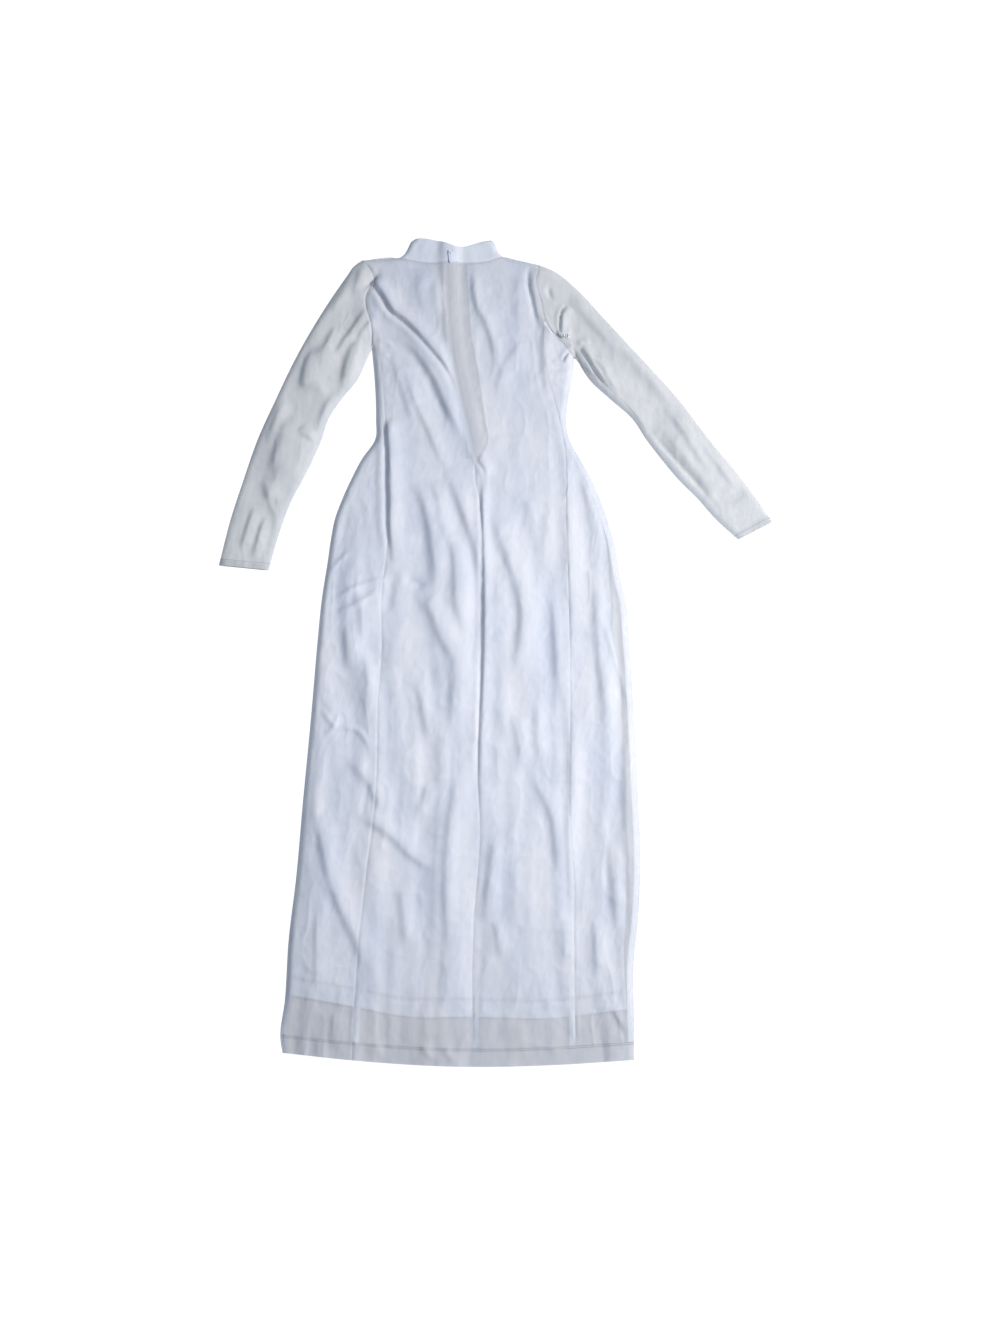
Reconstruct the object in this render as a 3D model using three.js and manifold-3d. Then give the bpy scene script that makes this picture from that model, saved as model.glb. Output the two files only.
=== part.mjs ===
// A full-length, long-sleeved, two-layer gown with a high collar and a concealed back zip, laid flat
// on its front. Millimetres. +X to the right of the laid gown, +Y from hem to collar, +Z up.
// The front rests on Z = 0 and the back faces up. Each cloth panel is a flat solid at its own level.

import * as THREE from "three";
import { mergeVertices } from "three/addons/utils/BufferGeometryUtils.js";
import Module from "manifold-3d";

const wasm = await Module();
wasm.setup();

// ---------------------------------------------------------------- thicknesses and gaps
const CLOTH = 1.2; // outer mesh panels and sleeves
const LINING = 1.0;
const TAPE = 0.8; // zip tape
const GAP = 0.3; // between faces that touch on the real gown
const SEAM = 2.0; // width of the sewn edge that joins back and front
const WEAR_SPACE = 7.3; // clear height inside, between the two linings

// ---------------------------------------------------------------- heights above the hem
const KNEE_Y = 430;
const HIP_Y = 860;
const FLARE_Y = 1000;
const WAIST_Y = 1100;
const UNDERARM_Y = 1250;
const SHOULDER_Y = 1428;
const NECK_RISE = 5; // neck point above the shoulder tip
const NECK_DROP = 12; // back neck seam below the neck points
const COLLAR_HEIGHT = 36;
const COLLAR_DIP = 18; // top edge at the zip below the collar's corners
const LINING_HEM_Y = 98; // the lining stops this far above the outer hem

// ---------------------------------------------------------------- widths, from the line X = 0
const HEM_LEFT = 293;
const HEM_RIGHT = 277;
const KNEE_LEFT = 271;
const KNEE_RIGHT = 292;
const HIP_LEFT = 241;
const HIP_RIGHT = 264;
const FLARE_LEFT = 204;
const FLARE_RIGHT = 223;
const WAIST_LEFT = 160;
const WAIST_RIGHT = 179;
const CHEST_LEFT = 176;
const CHEST_RIGHT = 194;
const SHOULDER_RIGHT = 122;
const NECK_LEFT = 125;
const NECK_RIGHT = 71;
const COLLAR_TAPER_LEFT = 25;
const COLLAR_TAPER_RIGHT = 28;
const HEM_LIFT_LEFT = 22; // hem corners above the middle of the hem
const HEM_LIFT_RIGHT = 11;
const LINING_INSET = 8; // lining side seams inside the outer side seams

// ---------------------------------------------------------------- princess seams, in from the side seams
const PRINCESS_HEM_LEFT = 110;
const PRINCESS_HEM_RIGHT = 94;
const PRINCESS_KNEE_LEFT = 121;
const PRINCESS_KNEE_RIGHT = 113;
const PRINCESS_HIP_LEFT = 104;
const PRINCESS_HIP_RIGHT = 87;
const PRINCESS_WAIST_LEFT = 17;
const PRINCESS_WAIST_RIGHT = 11;
const PRINCESS_CHEST_LEFT = 20;
const PRINCESS_CHEST_RIGHT = 50;
const PRINCESS_TOP = 60; // where the left one meets the armhole, above the underarm

// ---------------------------------------------------------------- sleeves
const SLEEVE_CLEARANCE = 0.5; // sleeve to body across the armhole
const CUFF_LEFT = 88;
const CUFF_RIGHT = 69;

// ---------------------------------------------------------------- zip
const ZIP_TOP = new THREE.Vector2(-33, 1446);
const ZIP_LENGTH = 408;
const ZIP_TILT = THREE.MathUtils.degToRad(6.8);
const TAPE_WIDTH = 13;
const CHAIN_GAP = 1.4; // between the two coils
const COIL_WIDTH = 1.6;
const COIL_HEIGHT = 1.2;
const STOP_LENGTH = 3;
const SLIDER_LENGTH = 11;
const SLIDER_CLEARANCE = 0.35;
const POST_WIDTH = 0.8;
const PLATE = 1.0; // slider plate thickness
const PANEL_SLOT = 2.0; // opening between the back panels over the chain
const LINING_SLOT = 16; // the lining is cut back to the zip tapes
const BAIL_WIDTH = 1.6;
const BAIL_LENGTH = 6;
const BAIL_ROOM = 2.0; // height under the bail for the pull's crossbar
const PULL_LENGTH = 22;
const PULL_WIDTH = 5;
const CROSSBAR_RADIUS = 0.5;

// ---------------------------------------------------------------- levels
const FRONT_Z = 0;
const FRONT_LINING_Z = FRONT_Z + CLOTH + GAP;
const BACK_LINING_Z = FRONT_LINING_Z + LINING + WEAR_SPACE;
const TAPE_Z = BACK_LINING_Z + LINING + GAP;
const BACK_Z = TAPE_Z + TAPE + GAP;
const TOP_Z = BACK_Z + CLOTH;

const FAR = 900; // beyond every edge
const LINE_STEPS = 26;

// ---------------------------------------------------------------- materials
function cloth(color, roughness) {
  return new THREE.MeshStandardMaterial({ color, roughness, metalness: 0 });
}
const meshCloth = cloth(0xc9cfdc, 0.8);
const sleeveCloth = cloth(0xc3c7cc, 0.8);
const liningCloth = cloth(0xc3cfe4, 0.7);
const seamCloth = cloth(0xb4bccb, 0.9);
const tapeCloth = cloth(0xb9bfc9, 0.9);
const nylon = cloth(0xb3bac6, 0.5);
const enamel = new THREE.MeshStandardMaterial({ color: 0xaab2c0, roughness: 0.4, metalness: 0.3 });

// ---------------------------------------------------------------- solids
const point = (x, y) => new THREE.Vector2(x, y);

function solidOf(geometry) {
  const bare = geometry.index ? geometry.toNonIndexed() : geometry.clone();
  bare.deleteAttribute("normal");
  bare.deleteAttribute("uv");
  const merged = mergeVertices(bare, 1e-4);
  const vertProperties = new Float32Array(merged.attributes.position.array);
  const triVerts = new Uint32Array(merged.index.array);
  return new wasm.Manifold(new wasm.Mesh({ numProp: 3, vertProperties, triVerts }));
}

function geometryOf(solid) {
  const mesh = solid.getMesh();
  const geometry = new THREE.BufferGeometry();
  geometry.setAttribute("position", new THREE.BufferAttribute(mesh.vertProperties, 3));
  geometry.setIndex(new THREE.BufferAttribute(mesh.triVerts, 1));
  const flat = geometry.toNonIndexed();
  flat.computeVertexNormals();
  return flat;
}

// A flat solid: the outline through `points`, from height `low` to `high`.
function slab(points, low, high) {
  const geometry = new THREE.ExtrudeGeometry(new THREE.Shape(points), {
    depth: high - low,
    bevelEnabled: false,
  });
  return solidOf(geometry.translate(0, 0, low));
}

function block(centre, size) {
  return solidOf(new THREE.BoxGeometry(...size).translate(...centre));
}

const gown = new THREE.Group();

function add(name, solid, material, parent = gown) {
  const mesh = new THREE.Mesh(geometryOf(solid), material);
  mesh.name = name;
  parent.add(mesh);
}

// ---------------------------------------------------------------- lines on the laid gown
const smooth = (points, steps = LINE_STEPS) => new THREE.SplineCurve(points).getPoints(steps);
const shifted = (points, x, y = 0) => points.map((p) => point(p.x + x, p.y + y));
const backwards = (points) => [...points].reverse();

const leftSide = smooth([
  point(-HEM_LEFT, HEM_LIFT_LEFT),
  point(-KNEE_LEFT, KNEE_Y),
  point(-HIP_LEFT, HIP_Y),
  point(-FLARE_LEFT, FLARE_Y),
  point(-WAIST_LEFT, WAIST_Y),
  point(-CHEST_LEFT, UNDERARM_Y),
]);
const rightSide = smooth([
  point(HEM_RIGHT, HEM_LIFT_RIGHT),
  point(KNEE_RIGHT, KNEE_Y),
  point(HIP_RIGHT, HIP_Y),
  point(FLARE_RIGHT, FLARE_Y),
  point(WAIST_RIGHT, WAIST_Y),
  point(CHEST_RIGHT, UNDERARM_Y),
]);
const hem = smooth([leftSide[0], point(0, 0), rightSide[0]], 10);

const leftTip = point(-CHEST_LEFT, SHOULDER_Y);
const rightTip = point(SHOULDER_RIGHT, SHOULDER_Y - 2 * NECK_RISE);
const leftNeck = point(-NECK_LEFT, SHOULDER_Y + NECK_RISE);
const rightNeck = point(NECK_RIGHT, SHOULDER_Y + NECK_RISE);
const underarmLeft = leftSide.at(-1);
const underarmRight = rightSide.at(-1);
const NECK_BASE_Y = leftNeck.y - NECK_DROP;
const neckline = smooth(
  [leftNeck, point(-NECK_LEFT + 32, NECK_BASE_Y + 3), point(ZIP_TOP.x, NECK_BASE_Y),
    point(NECK_RIGHT - 32, NECK_BASE_Y + 3), rightNeck],
  12,
);

// Where the concealed zip ends, and the seam below it down to the hem.
const zipWay = point(Math.sin(ZIP_TILT), -Math.cos(ZIP_TILT));
const zipEnd = ZIP_TOP.clone().addScaledVector(zipWay, ZIP_LENGTH);
const aboveZip = ZIP_TOP.clone().addScaledVector(zipWay, -60);
const centreBack = [
  aboveZip,
  ...smooth([zipEnd, point(28, HIP_Y + 50), point(28, KNEE_Y + 230), point(17, 230), point(16, -60)], 14),
];

const princessLeft = smooth([
  point(-HEM_LEFT + PRINCESS_HEM_LEFT, -60),
  point(-KNEE_LEFT + PRINCESS_KNEE_LEFT, KNEE_Y),
  point(-HIP_LEFT + PRINCESS_HIP_LEFT, HIP_Y),
  point(-WAIST_LEFT + PRINCESS_WAIST_LEFT, WAIST_Y),
  point(-CHEST_LEFT + PRINCESS_CHEST_LEFT, UNDERARM_Y - 20),
  point(-CHEST_LEFT, UNDERARM_Y + PRINCESS_TOP),
  point(-CHEST_LEFT - 80, UNDERARM_Y + PRINCESS_TOP + 40),
]);
const princessRight = smooth([
  point(HEM_RIGHT - PRINCESS_HEM_RIGHT, -60),
  point(KNEE_RIGHT - PRINCESS_KNEE_RIGHT, KNEE_Y),
  point(HIP_RIGHT - PRINCESS_HIP_RIGHT, HIP_Y),
  point(WAIST_RIGHT - PRINCESS_WAIST_RIGHT, WAIST_Y),
  point(CHEST_RIGHT - PRINCESS_CHEST_RIGHT, UNDERARM_Y - 20),
  point(CHEST_RIGHT - PRINCESS_CHEST_RIGHT - 4, UNDERARM_Y + 40),
  point(CHEST_RIGHT + 10, UNDERARM_Y + 110),
]);

// Everything on the left, or on the right, of a line that runs from end to end of the gown.
function leftOf(line, shift, low, high) {
  const edge = shifted(line, shift);
  return slab([...edge, point(-FAR, edge.at(-1).y), point(-FAR, edge[0].y)], low, high);
}
function rightOf(line, shift, low, high) {
  const edge = shifted(line, shift);
  return slab([...edge, point(FAR, edge.at(-1).y), point(FAR, edge[0].y)], low, high);
}

// The body's outline inside its sewn edges, drawn in by `inset` at the sides and cut at `hemLine`.
function bodyOutline(inset, hemLine) {
  const armholeRight = rightTip.clone().sub(underarmRight).normalize();
  return [
    ...hemLine,
    ...shifted(rightSide, -inset).filter((p) => p.y > hemLine.at(-1).y + 1),
    underarmRight.clone().addScaledVector(armholeRight, inset),
    point(rightTip.x, rightTip.y - SEAM - GAP),
    point(rightNeck.x, rightNeck.y - SEAM - GAP),
    ...shifted(backwards(neckline).slice(1, -1), 0, -GAP),
    point(leftNeck.x, leftNeck.y - SEAM - GAP),
    point(leftTip.x, leftTip.y - SEAM - GAP),
    point(underarmLeft.x, underarmLeft.y + inset),
    ...backwards(shifted(leftSide, inset)).filter((p) => p.y > hemLine[0].y + 1),
  ];
}

// The end points of a hem are moved onto the inset sides, at their own height.
function insetHem(line, inset) {
  const inner = [...line];
  inner[0] = point(line[0].x + inset, line[0].y);
  inner[inner.length - 1] = point(line.at(-1).x - inset, line.at(-1).y);
  return inner;
}

const PANEL_INSET = SEAM + GAP;
const outerOutline = bodyOutline(PANEL_INSET, insetHem(hem, PANEL_INSET));

function xAt(side, y) {
  const above = side.findIndex((p) => p.y >= y);
  const low = side[above - 1];
  const high = side[above];
  return low.x + ((high.x - low.x) * (y - low.y)) / (high.y - low.y);
}
const LINING_EDGE = PANEL_INSET + LINING_INSET;
const liningHem = smooth([
  point(xAt(leftSide, LINING_HEM_Y + HEM_LIFT_LEFT) + LINING_EDGE, LINING_HEM_Y + HEM_LIFT_LEFT),
  point(0, LINING_HEM_Y - HEM_LIFT_RIGHT),
  point(xAt(rightSide, LINING_HEM_Y) - LINING_EDGE, LINING_HEM_Y),
], 10);
const liningOutline = bodyOutline(LINING_EDGE, liningHem);

// ---------------------------------------------------------------- body panels
function zipSlot(width, low, high) {
  const way = zipWay.clone().multiplyScalar(ZIP_LENGTH + STOP_LENGTH);
  const side = point(-zipWay.y, zipWay.x).multiplyScalar(width / 2);
  const foot = ZIP_TOP.clone().add(way);
  return slab([
    aboveZip.clone().add(side),
    aboveZip.clone().sub(side),
    foot.clone().sub(side),
    foot.clone().add(side),
  ], low, high);
}

function addOuterBack() {
  const sheet = slab(outerOutline, BACK_Z, TOP_Z).subtract(zipSlot(PANEL_SLOT, FRONT_Z, TOP_Z + 1));
  const low = BACK_Z - 1;
  const high = TOP_Z + 1;
  const left = sheet.intersect(leftOf(centreBack, -GAP / 2, low, high));
  const right = sheet.intersect(rightOf(centreBack, GAP / 2, low, high));
  add("outer_back_centre_left", left.subtract(leftOf(princessLeft, GAP / 2, low, high)), meshCloth);
  add("outer_back_side_left", left.intersect(leftOf(princessLeft, -GAP / 2, low, high)), meshCloth);
  add("outer_back_centre_right", right.subtract(rightOf(princessRight, -GAP / 2, low, high)), meshCloth);
  add("outer_back_side_right", right.intersect(rightOf(princessRight, GAP / 2, low, high)), meshCloth);
}

function addOuterFront() {
  const sheet = slab(outerOutline, FRONT_Z, FRONT_Z + CLOTH);
  const low = FRONT_Z - 1;
  const high = FRONT_Z + CLOTH + 1;
  const middle = sheet
    .subtract(leftOf(princessLeft, GAP / 2, low, high))
    .subtract(rightOf(princessRight, -GAP / 2, low, high));
  add("outer_front_centre", middle, meshCloth);
  add("outer_front_side_left", sheet.intersect(leftOf(princessLeft, -GAP / 2, low, high)), meshCloth);
  add("outer_front_side_right", sheet.intersect(rightOf(princessRight, GAP / 2, low, high)), meshCloth);
}

function addLining() {
  const high = BACK_LINING_Z + LINING;
  const back = slab(liningOutline, BACK_LINING_Z, high)
    .subtract(zipSlot(LINING_SLOT, BACK_LINING_Z - 1, high + 1));
  add("lining_back_left", back.intersect(leftOf(centreBack, -GAP / 2, 0, TOP_Z)), liningCloth);
  add("lining_back_right", back.intersect(rightOf(centreBack, GAP / 2, 0, TOP_Z)), liningCloth);
  add("lining_front", slab(liningOutline, FRONT_LINING_Z, FRONT_LINING_Z + LINING), liningCloth);
}

// ---------------------------------------------------------------- sewn edges between back and front
function edgeBand(line, x, y = 0) {
  return slab([...line, ...backwards(shifted(line, x, y))], FRONT_Z, TOP_Z);
}

function addBodySeams() {
  add("side_seam_left", edgeBand(leftSide, SEAM), seamCloth);
  add("side_seam_right", edgeBand(rightSide, -SEAM), seamCloth);
  add("shoulder_seam_left", edgeBand([leftTip, leftNeck], 0, -SEAM), seamCloth);
  add("shoulder_seam_right", edgeBand([rightNeck, rightTip], 0, -SEAM), seamCloth);
}

// ---------------------------------------------------------------- collar
function addCollar() {
  const topLeft = point(leftNeck.x + COLLAR_TAPER_LEFT, leftNeck.y + COLLAR_HEIGHT);
  const topRight = point(rightNeck.x - COLLAR_TAPER_RIGHT, rightNeck.y + COLLAR_HEIGHT);
  const dip = point((topLeft.x + topRight.x) / 2, topLeft.y - COLLAR_DIP);
  const rim = smooth([topLeft, dip, topRight], 8);
  const inset = SEAM + GAP;
  const face = [
    ...shifted(neckline, 0, GAP).slice(1, -1),
    point(rightNeck.x - inset, rightNeck.y + GAP),
    point(topRight.x - inset, topRight.y - 1),
    ...backwards(rim).slice(1, -1),
    point(topLeft.x + inset, topLeft.y - 1),
    point(leftNeck.x + inset, leftNeck.y + GAP),
  ];
  const back = slab(face, BACK_Z, TOP_Z).subtract(zipSlot(PANEL_SLOT, BACK_Z - 1, TOP_Z + 1));
  add("collar_back_left", back.intersect(leftOf(centreBack, -GAP / 2, 0, TOP_Z + 1)), meshCloth);
  add("collar_back_right", back.intersect(rightOf(centreBack, GAP / 2, 0, TOP_Z + 1)), meshCloth);
  add("collar_front", slab(face, FRONT_Z, FRONT_Z + CLOTH), meshCloth);
  const leftEdge = [point(leftNeck.x, leftNeck.y + GAP), topLeft];
  const rightEdge = [point(rightNeck.x, rightNeck.y + GAP), topRight];
  add("collar_fold_left", edgeBand(leftEdge, SEAM), seamCloth);
  add("collar_fold_right", edgeBand(rightEdge, -SEAM), seamCloth);
}

// ---------------------------------------------------------------- sleeves
// `outer` and `inner` run from armhole to cuff. `side` is -1 for the left sleeve and 1 for the right.
function addSleeve(name, outer, inner, side) {
  const inset = -side * (SEAM + GAP);
  const face = [...shifted(outer, inset), ...backwards(shifted(inner, -inset))];
  add(`sleeve_${name}_upper_face`, slab(face, BACK_Z, TOP_Z), sleeveCloth);
  add(`sleeve_${name}_under_face`, slab(face, FRONT_Z, FRONT_Z + CLOTH), sleeveCloth);
  add(`sleeve_${name}_outer_fold`, edgeBand(outer, -side * SEAM), sleeveCloth);
  add(`sleeve_${name}_underarm_seam`, edgeBand(inner, side * SEAM), seamCloth);
}

function addSleeves() {
  const leftX = -CHEST_LEFT - SLEEVE_CLEARANCE;
  const leftCuff = point(-343, 836);
  const outerLeft = smooth([
    point(leftX - SEAM - GAP, SHOULDER_Y - 2),
    point(-206, 1415),
    point(-248, 1350),
    point(-309, 1232),
    point(-371, 1078),
    point(-404, 963),
    point(leftCuff.x - CUFF_LEFT, leftCuff.y + 9),
  ], 18);
  const innerLeft = smooth([
    point(leftX, UNDERARM_Y + SEAM),
    point(-193, 1195),
    point(-244, 1115),
    point(-287, 1003),
    point(-320, 915),
    leftCuff,
  ], 14);
  addSleeve("left", outerLeft, innerLeft, -1);

  const away = point(rightTip.y - underarmRight.y, underarmRight.x - rightTip.x).normalize();
  const rightShoulder = rightTip.clone().addScaledVector(away, SLEEVE_CLEARANCE + SEAM + GAP);
  const rightUnderarm = underarmRight.clone().addScaledVector(away, SLEEVE_CLEARANCE);
  const rightCuff = point(477, 892);
  const cuffWay = point(61, 33).normalize();
  const outerRight = smooth([
    rightShoulder,
    point(160, 1404),
    point(216, 1350),
    point(315, 1232),
    point(406, 1117),
    point(488, 1003),
    rightCuff.clone().addScaledVector(cuffWay, CUFF_RIGHT),
  ], 18);
  const innerRight = smooth([
    rightUnderarm,
    point(222, 1193),
    point(297, 1112),
    point(346, 1041),
    point(409, 966),
    rightCuff,
  ], 14);
  addSleeve("right", outerRight, innerRight, 1);
}

// ---------------------------------------------------------------- zip, built along its own -Y
function addZip() {
  const zip = new THREE.Group();
  zip.position.set(ZIP_TOP.x, ZIP_TOP.y, 0);
  zip.rotation.z = ZIP_TILT;
  gown.add(zip);

  const tapeLow = TAPE_Z;
  const coilTop = TAPE_Z - GAP;
  const coilLow = coilTop - COIL_HEIGHT;
  const chainLength = ZIP_LENGTH - 2 * (STOP_LENGTH + GAP);
  const chainY = -STOP_LENGTH - GAP - chainLength / 2;
  for (const [name, side] of [["left", -1], ["right", 1]]) {
    const tapeX = side * (CHAIN_GAP / 2 + TAPE_WIDTH / 2);
    const coilX = side * (CHAIN_GAP / 2 + COIL_WIDTH / 2);
    const tape = block([tapeX, -ZIP_LENGTH / 2, tapeLow + TAPE / 2], [TAPE_WIDTH, ZIP_LENGTH, TAPE]);
    const coil = block([coilX, chainY, coilLow + COIL_HEIGHT / 2], [COIL_WIDTH, chainLength, COIL_HEIGHT]);
    const stopY = -STOP_LENGTH / 2;
    const stop = block([coilX, stopY, coilLow + COIL_HEIGHT / 2], [COIL_WIDTH, STOP_LENGTH, COIL_HEIGHT]);
    add(`zip_tape_${name}`, tape, tapeCloth, zip);
    add(`zip_coil_${name}`, coil, nylon, zip);
    add(`zip_top_stop_${name}`, stop, enamel, zip);
  }
  const chainWidth = CHAIN_GAP + 2 * COIL_WIDTH;
  const endY = -ZIP_LENGTH + STOP_LENGTH / 2;
  const bottomStop = block(
    [0, endY, coilLow + COIL_HEIGHT / 2], [chainWidth, STOP_LENGTH, COIL_HEIGHT]);
  add("zip_bottom_stop", bottomStop, enamel, zip);

  const sliderY = -STOP_LENGTH - GAP - SLIDER_LENGTH / 2;
  const plateTop = coilLow - SLIDER_CLEARANCE;
  const bodyWidth = chainWidth + 2 * (SLIDER_CLEARANCE + PLATE);
  const flangeTop = tapeLow - SLIDER_CLEARANCE;
  const flangeX = (bodyWidth - PLATE) / 2;
  const flangeHeight = flangeTop - plateTop + PLATE / 2;
  const capLow = TOP_Z + SLIDER_CLEARANCE;
  const capTop = capLow + PLATE / 2;
  const bailTop = capTop + BAIL_ROOM;
  const bailLegY = (BAIL_LENGTH - PLATE) / 2;
  let slider = block([0, sliderY, plateTop - PLATE / 2], [bodyWidth, SLIDER_LENGTH, PLATE]);
  for (const side of [-1, 1]) {
    const flangeZ = flangeTop - flangeHeight / 2;
    slider = slider.add(block([side * flangeX, sliderY, flangeZ], [PLATE, SLIDER_LENGTH, flangeHeight]));
    slider = slider.add(block(
      [0, sliderY + side * bailLegY, (capTop + bailTop) / 2], [BAIL_WIDTH, PLATE, bailTop - capTop + 0.2]));
  }
  const postHeight = capTop - plateTop + PLATE / 2;
  slider = slider.add(block([0, sliderY, capTop - postHeight / 2], [POST_WIDTH, BAIL_LENGTH, postHeight]));
  slider = slider.add(block([0, sliderY, capLow + PLATE / 4], [BAIL_WIDTH, BAIL_LENGTH, PLATE / 2]));
  slider = slider.add(block([0, sliderY, bailTop + PLATE / 4], [BAIL_WIDTH, BAIL_LENGTH, PLATE / 2]));
  add("zip_slider", slider, enamel, zip);

  const pivotZ = capTop + BAIL_ROOM / 2;
  const armX = BAIL_WIDTH / 2 + SLIDER_CLEARANCE * 2 + CROSSBAR_RADIUS;
  const armReach = BAIL_LENGTH / 2 + 1.5;
  const bar = new THREE.CylinderGeometry(CROSSBAR_RADIUS, CROSSBAR_RADIUS, 2 * armX, 12);
  let pull = solidOf(bar.rotateZ(Math.PI / 2).translate(0, sliderY, pivotZ));
  const armSize = 2 * CROSSBAR_RADIUS;
  for (const side of [-1, 1]) {
    const armY = sliderY + CROSSBAR_RADIUS - (armReach + CROSSBAR_RADIUS) / 2;
    pull = pull.add(block([side * armX, armY, pivotZ], [armSize, armReach + CROSSBAR_RADIUS, armSize]));
  }
  const tab = new THREE.Shape();
  const tabTop = sliderY - armReach;
  const tabEnd = sliderY - PULL_LENGTH;
  const half = PULL_WIDTH / 2;
  tab.moveTo(-armX - CROSSBAR_RADIUS, tabTop);
  tab.lineTo(armX + CROSSBAR_RADIUS, tabTop);
  tab.lineTo(half, tabEnd + half);
  tab.absarc(0, tabEnd + half, half, 0, -Math.PI, true);
  tab.lineTo(-armX - CROSSBAR_RADIUS, tabTop);
  const plate = new THREE.ExtrudeGeometry(tab, { depth: armSize, bevelEnabled: false, curveSegments: 10 });
  pull = pull.add(solidOf(plate.translate(0, 0, pivotZ - CROSSBAR_RADIUS)));
  add("zip_pull", pull, enamel, zip);
}

addOuterFront();
addLining();
addOuterBack();
addBodySeams();
addCollar();
addSleeves();
addZip();

// The origin is under the middle of the gown's box, on the surface that it lies on.
const reach = new THREE.Box3().setFromObject(gown);
gown.position.set(-(reach.min.x + reach.max.x) / 2, -(reach.min.y + reach.max.y) / 2, 0);
const part = new THREE.Group();
part.add(gown);

export default part;
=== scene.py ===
"""The looks of a long-sleeved gown laid flat, back up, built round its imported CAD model.

Cloth is drawn in plan: millimetres, x across from the zip's reference line, y up from the hem.
One function, top_height, gives how high the upper cloth lies over every point of the plan, and
each panel, lining, sleeve, seam and hem takes its height from it.
"""

import math

import bpy
import numpy as np
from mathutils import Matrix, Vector


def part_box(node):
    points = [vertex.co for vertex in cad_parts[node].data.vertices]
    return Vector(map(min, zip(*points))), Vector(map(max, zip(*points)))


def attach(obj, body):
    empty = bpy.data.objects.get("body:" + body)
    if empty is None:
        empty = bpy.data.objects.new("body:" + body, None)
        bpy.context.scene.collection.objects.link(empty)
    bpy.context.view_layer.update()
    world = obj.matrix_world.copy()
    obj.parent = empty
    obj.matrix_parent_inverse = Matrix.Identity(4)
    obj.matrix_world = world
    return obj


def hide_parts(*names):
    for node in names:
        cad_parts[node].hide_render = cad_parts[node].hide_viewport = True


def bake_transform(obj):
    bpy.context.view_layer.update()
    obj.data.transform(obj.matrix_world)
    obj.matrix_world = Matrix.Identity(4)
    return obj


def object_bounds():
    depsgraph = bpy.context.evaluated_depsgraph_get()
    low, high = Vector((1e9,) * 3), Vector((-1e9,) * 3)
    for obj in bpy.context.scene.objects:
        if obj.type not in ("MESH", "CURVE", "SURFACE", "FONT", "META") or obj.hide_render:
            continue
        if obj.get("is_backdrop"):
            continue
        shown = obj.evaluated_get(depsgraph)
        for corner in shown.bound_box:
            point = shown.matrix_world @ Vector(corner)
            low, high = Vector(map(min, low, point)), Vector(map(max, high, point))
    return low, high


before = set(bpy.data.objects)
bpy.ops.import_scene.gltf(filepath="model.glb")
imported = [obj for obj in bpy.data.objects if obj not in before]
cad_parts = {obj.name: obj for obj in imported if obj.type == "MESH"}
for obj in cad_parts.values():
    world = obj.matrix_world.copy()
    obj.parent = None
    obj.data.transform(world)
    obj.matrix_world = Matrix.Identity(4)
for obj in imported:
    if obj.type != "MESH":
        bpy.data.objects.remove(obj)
CAD_LOW, CAD_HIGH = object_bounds()

MM = 0.001
HEM_CORNER_LEFT = -293.0  # plan x of the left side seam's outer edge at the hem
ORIGIN = np.array([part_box("side_seam_left")[0].x - HEM_CORNER_LEFT * MM, CAD_LOW.y, 0.0])


# ---------------------------------------------------------------- lines on the plan
def spline(places, values, at):
    """Smooth values between the given places, straight on beyond the ends."""
    places, values, at = (np.asarray(a, float) for a in (places, values, at))
    slopes = np.gradient(values, places)
    k = np.clip(np.searchsorted(places, at) - 1, 0, len(places) - 2)
    span = places[k + 1] - places[k]
    t = (at - places[k]) / span
    inside = (
        values[k] * (1 + 2 * t) * (1 - t) ** 2
        + slopes[k] * span * t * (1 - t) ** 2
        + values[k + 1] * t * t * (3 - 2 * t)
        + slopes[k + 1] * span * t * t * (t - 1)
    )
    before = values[0] + slopes[0] * (at - places[0])
    after = values[-1] + slopes[-1] * (at - places[-1])
    return np.where(at < places[0], before, np.where(at > places[-1], after, inside))


def upright(*points):
    """x as a function of y, for a seam that runs from the hem up."""
    p = np.array(sorted(points, key=lambda q: q[1]), float)
    return lambda y: spline(p[:, 1], p[:, 0], y)


def level(*points):
    """y as a function of x, for an edge that runs across."""
    p = np.array(sorted(points), float)
    return lambda x: spline(p[:, 0], p[:, 1], x)


def trace(points, step=4.0):
    """A smooth line through the points, with a point about every step mm."""
    p = np.array(points, float)
    along = np.concatenate([[0], np.cumsum(np.linalg.norm(np.diff(p, axis=0), axis=1))])
    at = np.linspace(0, along[-1], max(2, int(along[-1] / step) + 1))
    return np.stack([spline(along, p[:, 0], at), spline(along, p[:, 1], at)], axis=1)


def spread(points, count):
    """count points, evenly spaced along the line through the points."""
    p = trace(points, 1.0)
    along = np.concatenate([[0], np.cumsum(np.linalg.norm(np.diff(p, axis=0), axis=1))])
    at = np.linspace(0, along[-1], count)
    return np.stack([np.interp(at, along, p[:, 0]), np.interp(at, along, p[:, 1])], axis=1)


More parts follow.
